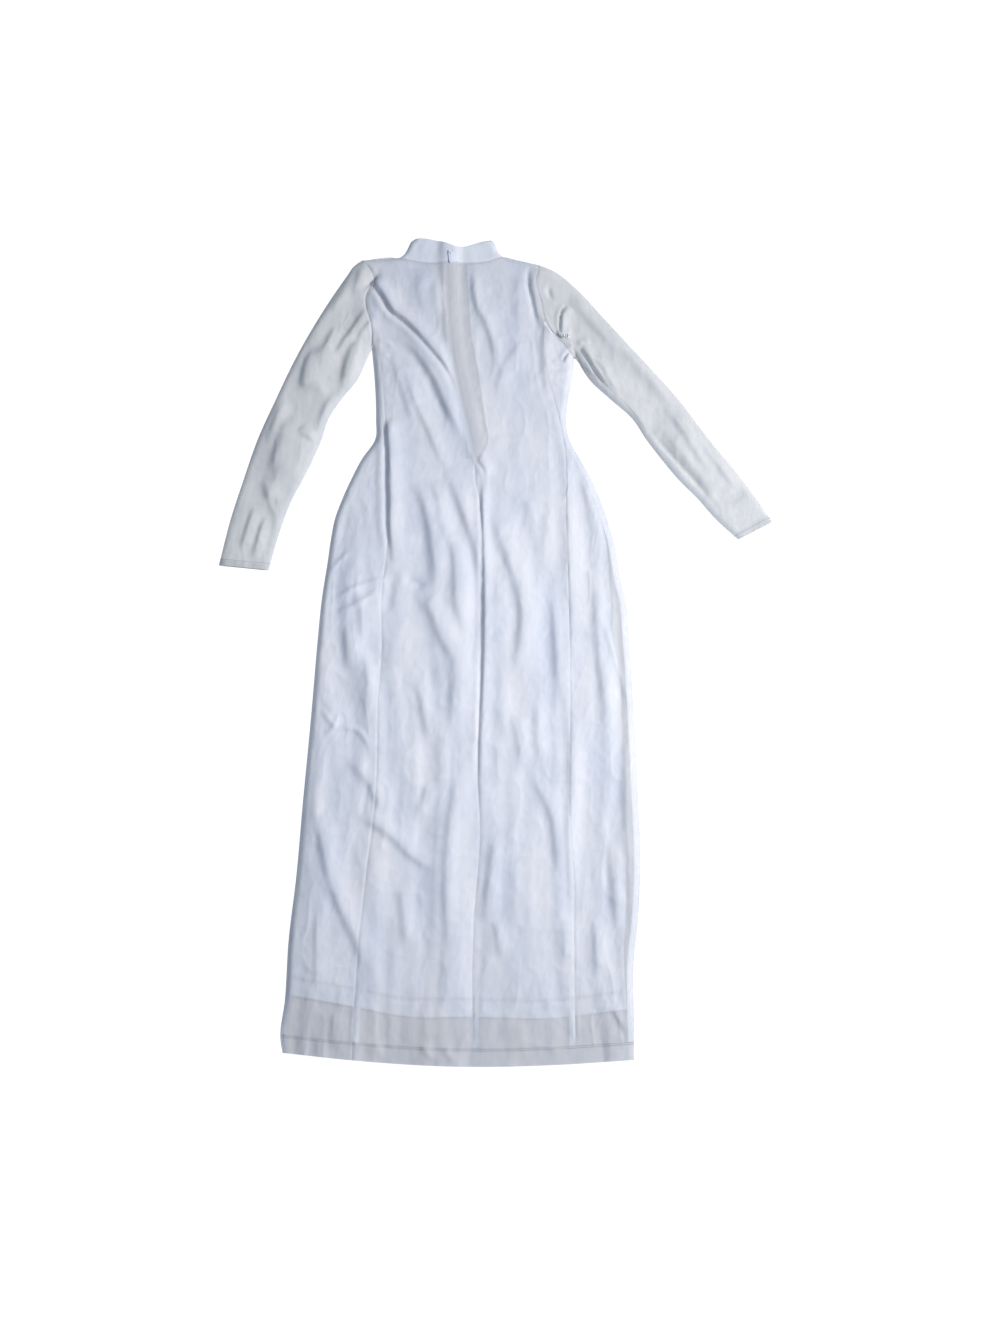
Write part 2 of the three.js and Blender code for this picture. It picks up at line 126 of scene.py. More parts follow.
side_left = upright(
    (-292, 22), (-296, 42), (-291, 106), (-288, 202), (-279, 301), (-271, 434), (-262, 571),
    (-254, 712), (-249, 783), (-240, 856), (-236, 892), (-230, 929), (-218, 966), (-203, 1003),
    (-185, 1041), (-162, 1078), (-161, 1116), (-165, 1193), (-171, 1251),
)
side_right = upright(
    (277, 11), (278, 42), (280, 170), (288, 235), (293, 301), (294, 367), (292, 434), (288, 571),
    (282, 712), (277, 783), (269, 819), (264, 856), (258, 892), (248, 929), (236, 966), (221, 1003),
    (202, 1041), (183, 1078), (179, 1097), (182, 1155), (189, 1193), (195, 1241),
)
armhole_left = upright((-171, 1251), (-172, 1290), (-184, 1349), (-170, 1389), (-191, 1425))
armhole_right = upright(
    (195, 1241), (185, 1263), (165, 1273), (143, 1304), (135, 1339), (126, 1380), (133, 1417)
)
princess_left = upright(
    (-180, 0), (-173, 176), (-163, 297), (-149, 434), (-147, 596), (-143, 708), (-145, 776),
    (-136, 887), (-143, 1105), (-156, 1230), (-176, 1310),
)
princess_right = upright(
    (183, 0), (182, 214), (183, 291), (177, 399), (180, 613), (178, 832), (176, 916), (170, 1092),
    (165, 1116), (139, 1236), (137, 1290), (141, 1310),
)
centre_back = upright(
    (16, 0), (17, 230), (27, 382), (23, 468), (29, 685), (28, 914), (23, 971), (18, 994),
    (15.3, 1041), (11.6, 1073), (1, 1126), (-16, 1210), (-27, 1280), (-31, 1349), (-33, 1409), (-32, 1437),
)
hem = level((-292, 22), (-176, 10), (-97, 4), (15, 0), (150, 3), (277, 11))
lining_hem = level((-283, 114), (-176, 95), (-97, 80), (11, 79), (145, 77), (244, 88))
shoulder = level(
    (-300, 1427), (-191, 1427), (-125, 1431), (-100, 1424), (-27, 1420), (43, 1424), (71, 1433),
    (84, 1429), (133, 1417), (300, 1370),
)
UNDERARM_LEFT, UNDERARM_RIGHT = 1251.0, 1241.0
PRINCESS_TOP_LEFT, PRINCESS_TOP_RIGHT = 1310.0, 1306.0

SLEEVES = {
    "left": {
        "outer": [
            (-191, 1427), (-205, 1417), (-221, 1393), (-248, 1349), (-270, 1310), (-309, 1232),
            (-341, 1155), (-371, 1078), (-393, 1003), (-413, 929), (-430, 845),
        ],
        "inner": [
            (-171, 1251), (-179, 1232), (-195, 1193), (-223, 1155), (-246, 1116), (-257, 1078),
            (-271, 1041), (-288, 1003), (-306, 966), (-319, 929), (-335, 870), (-343, 836),
        ],
        "armhole": [(-171, 1251), (-172, 1290), (-184, 1349), (-170, 1389), (-191, 1427)],
    },
    "right": {
        "outer": [
            (133, 1417), (159, 1405), (200, 1369), (250, 1310), (316, 1232), (379, 1155),
            (432, 1078), (488, 1003), (538, 925),
        ],
        "inner": [
            (195, 1241), (205, 1218), (220, 1193), (257, 1155), (297, 1116), (320, 1078),
            (346, 1041), (375, 1003), (409, 966), (439, 929), (477, 892),
        ],
        "armhole": [
            (195, 1241), (185, 1263), (165, 1273), (143, 1304), (135, 1339), (126, 1380),
            (133, 1417),
        ],
    },
}

# The collar's folded ends, from its seam up, and its top edges, from the zip outward.
COLLAR_END_LEFT = [(-125, 1433), (-116, 1440), (-109, 1452), (-103, 1464), (-98, 1468)]
COLLAR_END_RIGHT = [(71, 1434), (62, 1439), (55, 1449), (50, 1461), (44, 1467)]
COLLAR_TOP_LEFT = [(-23, 1451), (-42, 1459), (-62, 1465), (-80, 1468), (-98, 1468)]
COLLAR_TOP_RIGHT = [(-23, 1450), (0, 1452), (24, 1457), (44, 1463)]
COLLAR_TOP_FRONT = [(-98, 1466), (-60, 1460), (-23, 1451), (8, 1459), (30, 1466), (44, 1467)]


def edge_left(y):
    return np.where(y < UNDERARM_LEFT, side_left(y), armhole_left(y))


def edge_right(y):
    return np.where(y < UNDERARM_RIGHT, side_right(y), armhole_right(y))


# ---------------------------------------------------------------- how high the cloth lies
EDGE_HEIGHT = 2.6  # where the front and back cloth meet
ROLL_IN = 15.0  # how far in from an edge the cloth has risen to its full height
BODY_HEIGHT = 9.6
HEM_HEIGHT = 5.2
CUFF_HEIGHT = 6.4
ZIP_HEIGHT = 12.8  # over the zip's tapes
CREST = 19.5  # no fold stands higher
SLEEVE_LOW_LEFT, SLEEVE_LOW_RIGHT = 800, 860  # below each cuff
SLIDER_X, SLIDER_Y = -32, 1430


def rim():
    """The gown's outline on the plan, open at the hem, cuffs and neck."""
    y = np.arange(0, UNDERARM_LEFT + 1, 8.0)
    lines = [np.stack([side_left(y), y], 1)]
    y = np.arange(0, UNDERARM_RIGHT + 1, 8.0)
    lines.append(np.stack([side_right(y), y], 1))
    for sleeve in SLEEVES.values():
        lines += [trace(sleeve["outer"], 8.0), trace(sleeve["inner"], 8.0)]
    lines.append(trace([(-191, 1427), (-158, 1429), (-136, 1431)] + COLLAR_END_LEFT, 6.0))
    lines.append(trace([(133, 1417), (108, 1424), (86, 1429)] + COLLAR_END_RIGHT, 6.0))
    return np.concatenate([np.hstack([p[:-1], p[1:]]) for p in lines])


RIM = rim()


def from_rim(x, y):
    """Distance from each point to the outline."""
    found = np.empty(len(x))
    a, b = RIM[:, :2], RIM[:, 2:]
    way = b - a
    size = (way**2).sum(1)
    for start in range(0, len(x), 4000):
        p = np.stack([x[start : start + 4000], y[start : start + 4000]], 1)[:, None] - a
        t = np.clip((p * way).sum(2) / size, 0, 1)
        found[start : start + 4000] = np.sqrt(((p - t[..., None] * way) ** 2).sum(2).min(1))
    return found


def ease(t):
    t = np.clip(t, 0, 1)
    return t * t * (3 - 2 * t)


CELLS = 97  # of random rise each way, before they repeat


def ripple(x, y, across, along, seed):
    """Smooth random rise and fall, from -1 to 1, with cells of the given size."""
    lattice = np.random.default_rng(seed).uniform(-1, 1, (CELLS, CELLS))
    gx, gy = x / across + 40, y / along + 40
    ix, iy = np.floor(gx).astype(int), np.floor(gy).astype(int)
    fx, fy = gx - ix, gy - iy
    fx, fy = (f**3 * (f * (6 * f - 15) + 10) for f in (fx, fy))
    corner = lambda i, j: lattice[(ix + i) % CELLS, (iy + j) % CELLS]
    low = corner(0, 0) * (1 - fx) + corner(1, 0) * fx
    high = corner(0, 1) * (1 - fx) + corner(1, 1) * fx
    return low * (1 - fy) + high * fy


# Folds: shape, width, height, then the line that each follows from its top or left end.
# fold is a ridge, steep on the line and falling away slowly to the left of the way it runs;
# crease is the same with a sharp groove on the line; soft is a rounded ridge and dip a hollow.
FOLDS = [
    # upper back, left of the zip
    ("crease", 10, 5.5, [
        (-178, 1388), (-174, 1380), (-154, 1351), (-133, 1317), (-117, 1305), (-92, 1280),
        (-67, 1249), (-42, 1217), (-25, 1188), (-12, 1160), (0, 1128),
    ]),
    ("fold", 15, 4.2, [
        (-140, 1290), (-129, 1275), (-108, 1253), (-83, 1222), (-62, 1188), (-46, 1151),
        (-29, 1113), (-12, 1078), (0, 1050),
    ]),
    ("dip", 8, 1.8, [(-118, 1262), (-93, 1231), (-72, 1197), (-56, 1160), (-39, 1122), (-20, 1085)]),
    ("dip", 5, 2.4, [(-158, 1408), (-172, 1384), (-188, 1364)]),
    ("fold", 12, 2.0, [(-142, 1250), (-125, 1188), (-112, 1147), (-92, 1090)]),
    ("fold", 10, 2.2, [(-121, 1235), (-106, 1185), (-92, 1140), (-70, 1088), (-50, 1042), (-33, 1005)]),
    ("fold", 14, 1.6, [(-92, 1412), (-94, 1376), (-86, 1330), (-78, 1300)]),
    ("fold", 12, 1.3, [(-64, 1390), (-64, 1350), (-58, 1310)]),
    ("dip", 8, 0.9, [(-108, 1412), (-86, 1412), (-66, 1404)]),
    # the stiff fold beside the left princess seam, from waist to hip
    ("crease", 11, 4.0, [
        (-146, 1120), (-144, 1090), (-140, 1045), (-140, 1001), (-138, 960), (-137, 914),
        (-132, 868), (-130, 822),
    ]),
    ("dip", 9, 2.4, [(-126, 835), (-132, 790), (-138, 750)]),
    # upper back, right of the zip
    ("fold", 9, 2.6, [
        (10, 1436), (8, 1400), (8, 1366), (15, 1330), (29, 1300), (40, 1270), (46, 1240),
        (46, 1212), (34, 1180),
    ]),
    ("fold", 11, 1.6, [(104, 1280), (84, 1248), (66, 1222), (56, 1190), (48, 1150)]),
    ("fold", 14, 1.2, [(92, 1400), (84, 1350), (90, 1300)]),
    ("dip", 4, 2.6, [(121, 1420), (112, 1402), (111, 1374), (118, 1340), (124, 1308), (126, 1280)]),
    ("soft", 7, 2.6, [(128, 1412), (121, 1388), (124, 1350), (132, 1312), (150, 1284), (166, 1272)]),
    ("fold", 9, 1.8, [(136, 1330), (137, 1290), (134, 1250), (137, 1200), (146, 1150)]),
    ("crease", 6, 3.4, [(197, 1250), (188, 1244), (179, 1235), (172, 1222)]),
    ("crease", 5, 2.6, [(196, 1236), (188, 1228), (182, 1214)]),
    ("soft", 4, 1.6, [(150, 1226), (172, 1221), (192, 1223)]),
    ("soft", 4, 1.4, [(146, 1206), (168, 1200), (190, 1206)]),
    ("soft", 4, 1.2, [(152, 1186), (170, 1180), (184, 1184)]),
    ("dip", 6, 3.6, [(-176, 1262), (-169, 1252), (-164, 1244)]),
    ("soft", 5, 1.5, [(-170, 1246), (-150, 1240), (-136, 1232)]),
    ("soft", 5, 1.4, [(-162, 1268), (-144, 1262), (-128, 1248)]),
    # fan of folds under the zip, to the left
    ("fold", 15, 4.4, [(-98, 1004), (-89, 980), (-78, 950), (-70, 915), (-64, 872), (-60, 831), (-60, 790)]),
    ("fold", 14, 4.4, [(-40, 1020), (-30, 995), (-18, 960), (-3, 920), (10, 880), (17, 835), (18, 790)]),
    ("fold", 12, 2.6, [(-66, 1000), (-52, 960), (-44, 915), (-38, 876)]),
    ("fold", 13, 4.6, [(-42, 915), (-32, 888), (-24, 860), (-21, 825), (-20, 777), (-12, 742), (-1, 705)]),
    ("fold", 15, 4.2, [
        (-99, 812), (-80, 780), (-62, 752), (-45, 710), (-26, 680), (-22, 645), (-26, 600),
        (-28, 560), (-24, 505),
    ]),
    ("dip", 9, 2.2, [(-110, 822), (-88, 812), (-70, 798)]),
    ("fold", 12, 2.6, [(-90, 650), (-80, 610), (-74, 577), (-62, 520)]),
    ("dip", 11, 1.8, [(14, 1010), (14, 960), (17, 900), (17, 800), (17, 700), (14, 600)]),
    ("crease", 7, 2.4, [
        (26, 1010), (26, 960), (28, 900), (29, 800), (29, 685), (26, 580), (23, 468), (26, 400),
    ]),
    # left hip, with fine wrinkles that run in to the side
    ("soft", 5, 1.9, [(-240, 826), (-218, 852), (-196, 872)]),
    ("soft", 5, 2.2, [(-232, 777), (-200, 797), (-162, 812), (-118, 822)]),
    ("soft", 5, 1.8, [(-228, 756), (-195, 768), (-145, 800)]),
    ("fold", 13, 3.0, [(-196, 800), (-186, 768), (-182, 735), (-184, 695)]),
    ("fold", 12, 2.2, [(-212, 740), (-208, 700), (-206, 650)]),
    ("soft", 5, 1.7, [(-246, 592), (-222, 562), (-204, 549)]),
    ("soft", 5, 1.8, [(-222, 560), (-182, 552), (-153, 512)]),
    ("soft", 4, 1.5, [(-238, 540), (-220, 560), (-214, 588)]),
    ("fold", 11, 2.2, [(-176, 690), (-170, 640), (-172, 580)]),
    # right of the seat and down the right skirt
    ("crease", 7, 2.0, [(28, 1050), (20, 1038), (30, 1020), (36, 1004)]),
    ("fold", 15, 3.8, [
        (36, 960), (46, 920), (60, 877), (76, 831), (86, 793), (92, 755), (88, 710), (80, 656),
        (84, 600),
    ]),
    ("fold", 14, 1.6, [(96, 980), (108, 930), (118, 880), (124, 820)]),
    ("fold", 9, 1.6, [(168, 1120), (170, 1050), (174, 960), (176, 870), (180, 760), (180, 640)]),
    ("fold", 13, 2.6, [(143, 800), (147, 750), (151, 697), (155, 643), (163, 585)]),
    ("fold", 13, 2.8, [(215, 850), (218, 800), (220, 760), (222, 718), (226, 656), (232, 602), (236, 540)]),
    ("fold", 11, 1.8, [(198, 1010), (210, 960), (216, 900)]),
    ("soft", 6, 1.8, [(232, 760), (246, 715), (263, 656), (276, 614), (290, 572)]),
    ("fold", 11, 2.4, [(268, 560), (266, 500), (266, 430), (268, 340), (272, 250), (278, 180)]),
    ("fold", 12, 2.2, [(76, 590), (84, 545), (97, 480)]),
    ("fold", 12, 2.2, [(113, 610), (118, 550), (122, 480)]),
    ("fold", 12, 2.8, [(108, 485), (118, 455), (132, 428), (145, 395), (149, 345), (150, 290)]),
    ("fold", 12, 2.4, [(239, 390), (240, 330), (243, 270), (247, 210)]),
    ("fold", 10, 2.0, [(166, 250), (163, 200), (162, 155)]),
    ("fold", 10, 2.0, [(211, 245), (214, 190), (217, 135)]),
    ("fold", 10, 2.0, [(46, 240), (52, 205), (58, 165)]),
    ("fold", 10, 2.4, [(176, 600), (174, 500), (172, 400), (173, 300), (177, 220)]),
    ("fold", 11, 2.0, [(49, 390), (42, 330), (34, 275), (24, 220)]),
    # low on the left skirt
    ("fold", 12, 2.4, [(-205, 508), (-188, 485), (-170, 467), (-151, 432), (-130, 400)]),
    ("fold", 12, 2.6, [(-197, 402), (-155, 389), (-122, 366), (-95, 340), (-70, 322), (-32, 307)]),
    ("fold", 13, 3.2, [
        (-259, 450), (-251, 399), (-238, 345), (-222, 285), (-201, 236), (-183, 198), (-170, 162),
        (-161, 125),
    ]),
    ("fold", 9, 2.0, [(-246, 265), (-244, 180), (-240, 95)]),
    ("fold", 10, 2.2, [(-62, 470), (-74, 430), (-86, 395)]),
    ("fold", 11, 3.0, [(-20, 520), (-22, 462), (-30, 390), (-34, 320), (-34, 260), (-26, 160)]),
    ("fold", 10, 1.8, [(-110, 300), (-104, 240), (-98, 180)]),
    # hem
    ("dip", 5, 2.0, [(168, -4), (172, 22), (166, 60)]),
    ("fold", 7, 1.8, [(238, 95), (250, 74), (264, 50)]),
    ("soft", 8, 1.4, [(-148, 40), (-136, 26), (-128, 8)]),
    ("soft", 7, 1.4, [(-68, 36), (-56, 22), (-46, 6)]),
    ("soft", 7, 1.4, [(-32, 34), (-22, 20), (-12, 4)]),
    ("soft", 9, 1.3, [(92, 76), (96, 40), (94, 6)]),
    ("fold", 9, 1.6, [(-212, 92), (-214, 60), (-216, 26)]),
    # left sleeve
    ("fold", 12, 3.6, [(-178, 1276), (-196, 1266), (-208, 1250), (-217, 1226), (-222, 1195), (-225, 1158)]),
    ("soft", 9, 3.0, [(-190, 1262), (-200, 1236), (-205, 1200), (-212, 1175)]),
    ("fold", 8, 2.6, [(-180, 1340), (-200, 1300), (-224, 1262), (-246, 1224)]),
    ("fold", 7, 2.2, [(-168, 1312), (-186, 1288), (-202, 1262)]),
    ("fold", 11, 3.4, [(-236, 1168), (-252, 1136), (-261, 1104), (-262, 1078), (-252, 1052)]),
    ("dip", 9, 2.4, [(-246, 1126), (-252, 1100), (-250, 1076)]),
    ("soft", 8, 2.4, [(-304, 1183), (-272, 1178), (-242, 1167)]),
    ("fold", 9, 2.4, [(-282, 1250), (-290, 1220), (-296, 1176)]),
    ("fold", 8, 2.6, [(-302, 1090), (-280, 1077), (-262, 1067)]),
    ("fold", 13, 3.2, [(-366, 1006), (-356, 984), (-346, 952), (-336, 926), (-334, 890)]),
    ("dip", 11, 2.6, [(-344, 975), (-334, 948), (-326, 915)]),
    ("fold", 9, 2.6, [(-194, 1420), (-200, 1390), (-212, 1346)]),
    ("fold", 9, 2.0, [(-214, 1400), (-232, 1360), (-252, 1320)]),
    ("soft", 9, 2.2, [(-318, 1120), (-330, 1060), (-346, 1010)]),
    ("fold", 8, 1.8, [(-372, 960), (-384, 914), (-394, 866)]),
    ("fold", 7, 1.8, [(-352, 936), (-364, 896), (-374, 850)]),
    ("fold", 9, 2.0, [(-330, 1160), (-345, 1110), (-360, 1060)]),
    ("fold", 24, 3.6, [(-312, 1136), (-326, 1080), (-340, 1024), (-352, 980)]),
    ("fold", 18, 3.0, [(-262, 1268), (-284, 1212), (-300, 1160)]),
    ("fold", 10, 2.4, [(-236, 1300), (-256, 1256), (-268, 1206)]),
    # right sleeve
    ("crease", 6, 2.6, [(182, 1332), (172, 1318), (169, 1292), (168, 1272)]),
    ("crease", 5, 2.4, [(164, 1271), (178, 1272), (192, 1274)]),
    ("dip", 4, 2.2, [(146, 1372), (152, 1352), (158, 1346)]),
    ("soft", 5, 2.2, [(196, 1258), (214, 1262), (226, 1266)]),
    ("soft", 5, 2.2, [(206, 1246), (228, 1230), (250, 1206), (252, 1183)]),
    ("fold", 7, 2.2, [(226, 1238), (246, 1200), (268, 1162)]),
    ("crease", 6, 3.0, [(202, 1250), (213, 1236), (224, 1216), (240, 1190), (262, 1166)]),
    ("fold", 20, 3.0, [(262, 1262), (300, 1214), (340, 1164), (372, 1120)]),
    ("fold", 14, 2.6, [(330, 1110), (352, 1078), (380, 1040), (412, 998), (446, 952)]),
    ("fold", 12, 2.8, [(285, 1258), (330, 1200), (393, 1142)]),
    ("fold", 11, 2.8, [(347, 1137), (377, 1096), (410, 1037), (438, 1000)]),
    ("dip", 9, 2.2, [(428, 976), (464, 969), (500, 988)]),
    ("fold", 12, 2.2, [(178, 1352), (226, 1292), (276, 1232)]),
    ("fold", 9, 1.6, [(200, 1352), (250, 1292), (300, 1226)]),
    ("dip", 5, 1.3, [(312, 1112), (336, 1078), (368, 1040), (408, 992), (452, 930)]),
    ("fold", 9, 1.8, [(400, 1086), (440, 1030), (476, 974)]),
]


def profile(shape, d, width, height):
    """A fold's rise at the distance d to the left of its line."""
    if shape == "soft":
        return height * np.exp(-((d / width) ** 2))
    if shape == "dip":
        return -height * np.exp(-((d / width) ** 2))
    crest = d - 0.6 * width
    side = np.where(crest < 0, 0.72 * width, 1.6 * width)
    ridge = 1.25 * height * np.exp(-((crest / side) ** 2))
    if shape == "fold":
        return ridge
    groove = 0.6 * height * np.exp(-(((d + 0.12 * width) / (0.36 * width)) ** 2))
    bank = 0.42 * height * np.exp(-(((d + 1.0 * width) / (0.7 * width)) ** 2))
    return ridge - groove + bank


def folds(x, y):
    """The folds' rise at each point. Each fades out towards its ends."""
    total = np.zeros(len(x))
    for shape, width, height, points in FOLDS:
        p = trace(points, 5.0)
        near = (
            (x > p[:, 0].min() - 4.5 * width) & (x < p[:, 0].max() + 4.5 * width)
            & (y > p[:, 1].min() - 3 * width) & (y < p[:, 1].max() + 3 * width)
        )  # fmt: skip
        index = np.flatnonzero(near)
        if not len(index):
            continue
        way = np.gradient(p, axis=0)
        way /= np.linalg.norm(way, axis=1)[:, None]
        for part in np.array_split(index, max(1, len(index) // 20000 + 1)):
            rel = np.stack([x[part], y[part]], 1)[:, None] - p
            k = (rel**2).sum(2).argmin(1)
            rel = rel[np.arange(len(part)), k]
            d = rel[:, 1] * way[k, 0] - rel[:, 0] * way[k, 1]
            along = rel[:, 0] * way[k, 0] + rel[:, 1] * way[k, 1]
            t = (k + np.clip(along / 5.0, -1, 1)) / (len(p) - 1)
            t = np.clip(t, 0, 1)
            fade = ease(t / (0.09 if shape == "crease" else 0.3)) * ease((1 - t) / 0.34)
            total[part] += fade * profile(shape, d, width, height)
    return total


def seam_groove(x, y, line_x, low, high, depth=1.0, pucker=0.3, seed=1):
    """The dip of the cloth at an upright seam, with the small gathers that its thread makes."""
    d = x - line_x
    within = ease((y - low) / 12) * ease((high - y) / 12)
    gather = ripple(y, np.sign(d) * 50, 12, 30, seed) * np.exp(-np.abs(d) / 9)
    return within * (-depth * np.exp(-((d / 1.9) ** 2)) + pucker * gather)


ZIP_LOW, ZIP_HIGH = 1040.0, 1452.0


def zip_strip(x, y):
    """How much of the zip's flatness a point shares, from 0 to 1."""
    return np.exp(-(((x - centre_back(y)) / 18) ** 4)) * ease((y - ZIP_LOW + 12) / 30)


def top_height(x, y):
    """How high the upper cloth lies, in mm."""
    x, y = np.asarray(x, float), np.asarray(y, float)
    form = x.shape
    x, y = x.ravel(), y.ravel()
    d = from_rim(x, y)
    on_sleeve = (x < edge_left(y)) & (y > SLEEVE_LOW_LEFT)
    on_sleeve |= (x > edge_right(y)) & (y > SLEEVE_LOW_RIGHT)
    full = BODY_HEIGHT + 1.1 * ripple(x, y, 120, 170, 3)
    full = full + (HEM_HEIGHT - full) * (1 - ease((y - hem(x)) / 120)) * ~on_sleeve
    down = np.where(x < 0, (1260 - y) / 420, (1250 - y) / 350)
    full = np.where(on_sleeve, full + (CUFF_HEIGHT - full) * ease(down), full)
    roll = 1 - (1 - np.clip(d / ROLL_IN, 0, 1)) ** 3
    inner = ease(d / 22)
    skirt = ease((1080 - y) / 260) * ~on_sleeve
    bend = 26 * ripple(x, y, 200, 260, 11)
    drape = 2.6 * ripple(x + bend, y, 34, 330, 5) + 1.3 * ripple(x + bend, y, 17, 150, 6)
    rumple = 0.9 * ripple(x + bend, y, 46, 70, 7) + 0.42 * ripple(x - bend, y, 15, 34, 8)
    fine = 0.2 * ripple(x, y, 6, 10, 9)
    z = EDGE_HEIGHT + (full - EDGE_HEIGHT) * roll
    # Crumples are thin ridges that wander over the cloth.
    crumple = 0.9 * (1 - np.abs(ripple(x + bend, y, 38, 62, 13))) ** 5
    crumple = crumple + 0.5 * (1 - np.abs(ripple(x - y * 0.4, y + x * 0.3, 17, 27, 14))) ** 4
    crumple = crumple * ease((1412 - y) / 40)
    lie = np.where(on_sleeve, 1.9, 1.4) * folds(x, y) + rumple + crumple
    z = z + inner * (skirt * drape + lie) + ease(d / 8) * fine
    on_body = ~on_sleeve
    z = z + on_body * seam_groove(x, y, centre_back(y), 0, 1440, 1.1, 0.4, 21)
    pressed = 1.0 - 0.6 * ease((y - 1080) / 120)
    left = seam_groove(x, y, princess_left(y), 0, PRINCESS_TOP_LEFT, 1.0, 0.35, 22)
    right = seam_groove(x, y, princess_right(y), 0, PRINCESS_TOP_RIGHT, 1.0, 0.35, 23)
    z = z + on_body * pressed * (left + right)
    z = z + seam_groove(x, y, armhole_left(y), UNDERARM_LEFT, 1425, 1.5, 0.7, 24) * ease(d / 10)
    z = z + seam_groove(x, y, armhole_right(y), UNDERARM_RIGHT, 1415, 1.5, 0.7, 25) * ease(d / 10)
    share = zip_strip(x, y) * on_body
    z = z + share * (ZIP_HEIGHT + 0.25 * ripple(x, y, 30, 60, 12) - z)
    # The cloth is raised round the closed slider.
    z = z + 1.6 * np.exp(-(((x - SLIDER_X) / 11) ** 2) - (((y - SLIDER_Y) / 16) ** 2))
    z = np.where(z > 14, 14 + (CREST - 14) * np.tanh((z - 14) / (CREST - 14)), z)
    return np.maximum(z, 2.4 + 2.0 * ease(d / 14)).reshape(form)


def under_height(x, y):
    """How high the lowest cloth lies: on the floor, and up to the seams at the edges."""
    x, y = np.asarray(x, float), np.asarray(y, float)
    d = from_rim(x.ravel(), y.ravel()).reshape(x.shape)
    return 0.7 + 1.5 * np.exp(-((d / 6) ** 2))


# ---------------------------------------------------------------- materials
def material(name):
    made = bpy.data.materials.new(name)
    made.use_nodes = True
    nodes, links = made.node_tree.nodes, made.node_tree.links
    return made, nodes, links, nodes["Principled BSDF"]


def set_inputs(node, values):
    for key, value in values.items():
        node.inputs[key].default_value = value


def knit(name, colour, shade, alpha, pitch, bump, roughness=0.8, sheen=0.25, mottle=0.5):
    """Knitted cloth: fine upright wales, uneven thread, a soft sheen and slow changes of tone."""
    made, nodes, links, shader = material(name)
    grain = nodes.new("ShaderNodeUVMap")
    grain.uv_map = "grain"

    def noise(scale, stretch, detail):
        mapping = nodes.new("ShaderNodeMapping")
        set_inputs(mapping, {"Scale": (1, stretch, 1)})
        links.new(grain.outputs["UV"], mapping.inputs["Vector"])
        texture = nodes.new("ShaderNodeTexNoise")
        set_inputs(texture, {"Scale": scale, "Detail": detail})
        links.new(mapping.outputs["Vector"], texture.inputs["Vector"])
        return texture.outputs["Fac"]

    tone = nodes.new("ShaderNodeMix")
    tone.data_type = "RGBA"
    set_inputs(tone, {"A": (*shade, 1), "B": (*colour, 1)})
    uneven = nodes.new("ShaderNodeMath")
    uneven.operation = "MULTIPLY_ADD"
    set_inputs(uneven, {1: mottle})
    links.new(noise(160, 0.3, 4), uneven.inputs[0])
    links.new(noise(17, 0.3, 4), uneven.inputs[2])
    spread_out = nodes.new("ShaderNodeMapRange")
    set_inputs(spread_out, {"From Min": 0.35, "From Max": 1.05})
    links.new(uneven.outputs[0], spread_out.inputs["Value"])
    links.new(spread_out.outputs["Result"], tone.inputs["Factor"])
    links.new(tone.outputs["Result"], shader.inputs["Base Color"])
    wales = nodes.new("ShaderNodeTexWave")
    wales.wave_type = "BANDS"
    wales.bands_direction = "X"
    scale = math.pi / (10 * pitch)
    set_inputs(wales, {"Scale": scale, "Distortion": 1.5, "Detail": 1, "Detail Scale": 1.5})
    links.new(grain.outputs["UV"], wales.inputs["Vector"])
    height = nodes.new("ShaderNodeMath")
    height.operation = "MULTIPLY_ADD"
    set_inputs(height, {1: 1.6})
    links.new(noise(420, 0.6, 2), height.inputs[0])
    links.new(wales.outputs["Fac"], height.inputs[2])
    rough = nodes.new("ShaderNodeBump")
    set_inputs(rough, {"Strength": bump, "Distance": 0.0003})
    links.new(height.outputs[0], rough.inputs["Height"])
    links.new(rough.outputs["Normal"], shader.inputs["Normal"])
    set_inputs(shader, {"Roughness": roughness, "Sheen Weight": sheen, "Sheen Roughness": 0.4})
    set_inputs(shader, {"Alpha": alpha, "Specular IOR Level": 0.3})
    return made


MESH = knit("stretch_mesh", (0.71, 0.70, 0.705), (0.53, 0.56, 0.63), 0.42, 0.0009, 0.25)
# The front cloth is the back's own mesh, painted darker and made nearly opaque: painted shade for the inside
# of the gown, seen through the back.
SHADED_FRONT_MESH = knit("stretch_mesh_painted_shade", (0.50, 0.51, 0.53), (0.42, 0.43, 0.47), 0.9, 0.0009, 0.25)
SLEEVE_MESH = knit("sleeve_stretch_mesh", (0.66, 0.66, 0.66), (0.49, 0.505, 0.54), 0.52, 0.0009, 0.25)
LINING = knit("lining_knit", (0.79, 0.82, 0.89), (0.66, 0.72, 0.85), 1.0, 0.0006, 0.2, 0.55, 0.15)
SEAM = knit("seam_allowance", (0.74, 0.78, 0.85), (0.66, 0.71, 0.80), 1.0, 0.0009, 0.3)
THREAD = knit("sewing_thread", (0.17, 0.20, 0.27), (0.12, 0.15, 0.21), 1.0, 0.0004, 0.4, 0.6)
COLLAR = knit("collar_cloth", (0.58, 0.60, 0.64), (0.49, 0.51, 0.57), 1.0, 0.0009, 0.25)
TAPE = knit("zip_tape", (0.47, 0.49, 0.53), (0.40, 0.42, 0.47), 1.0, 0.0005, 0.6, 0.75)


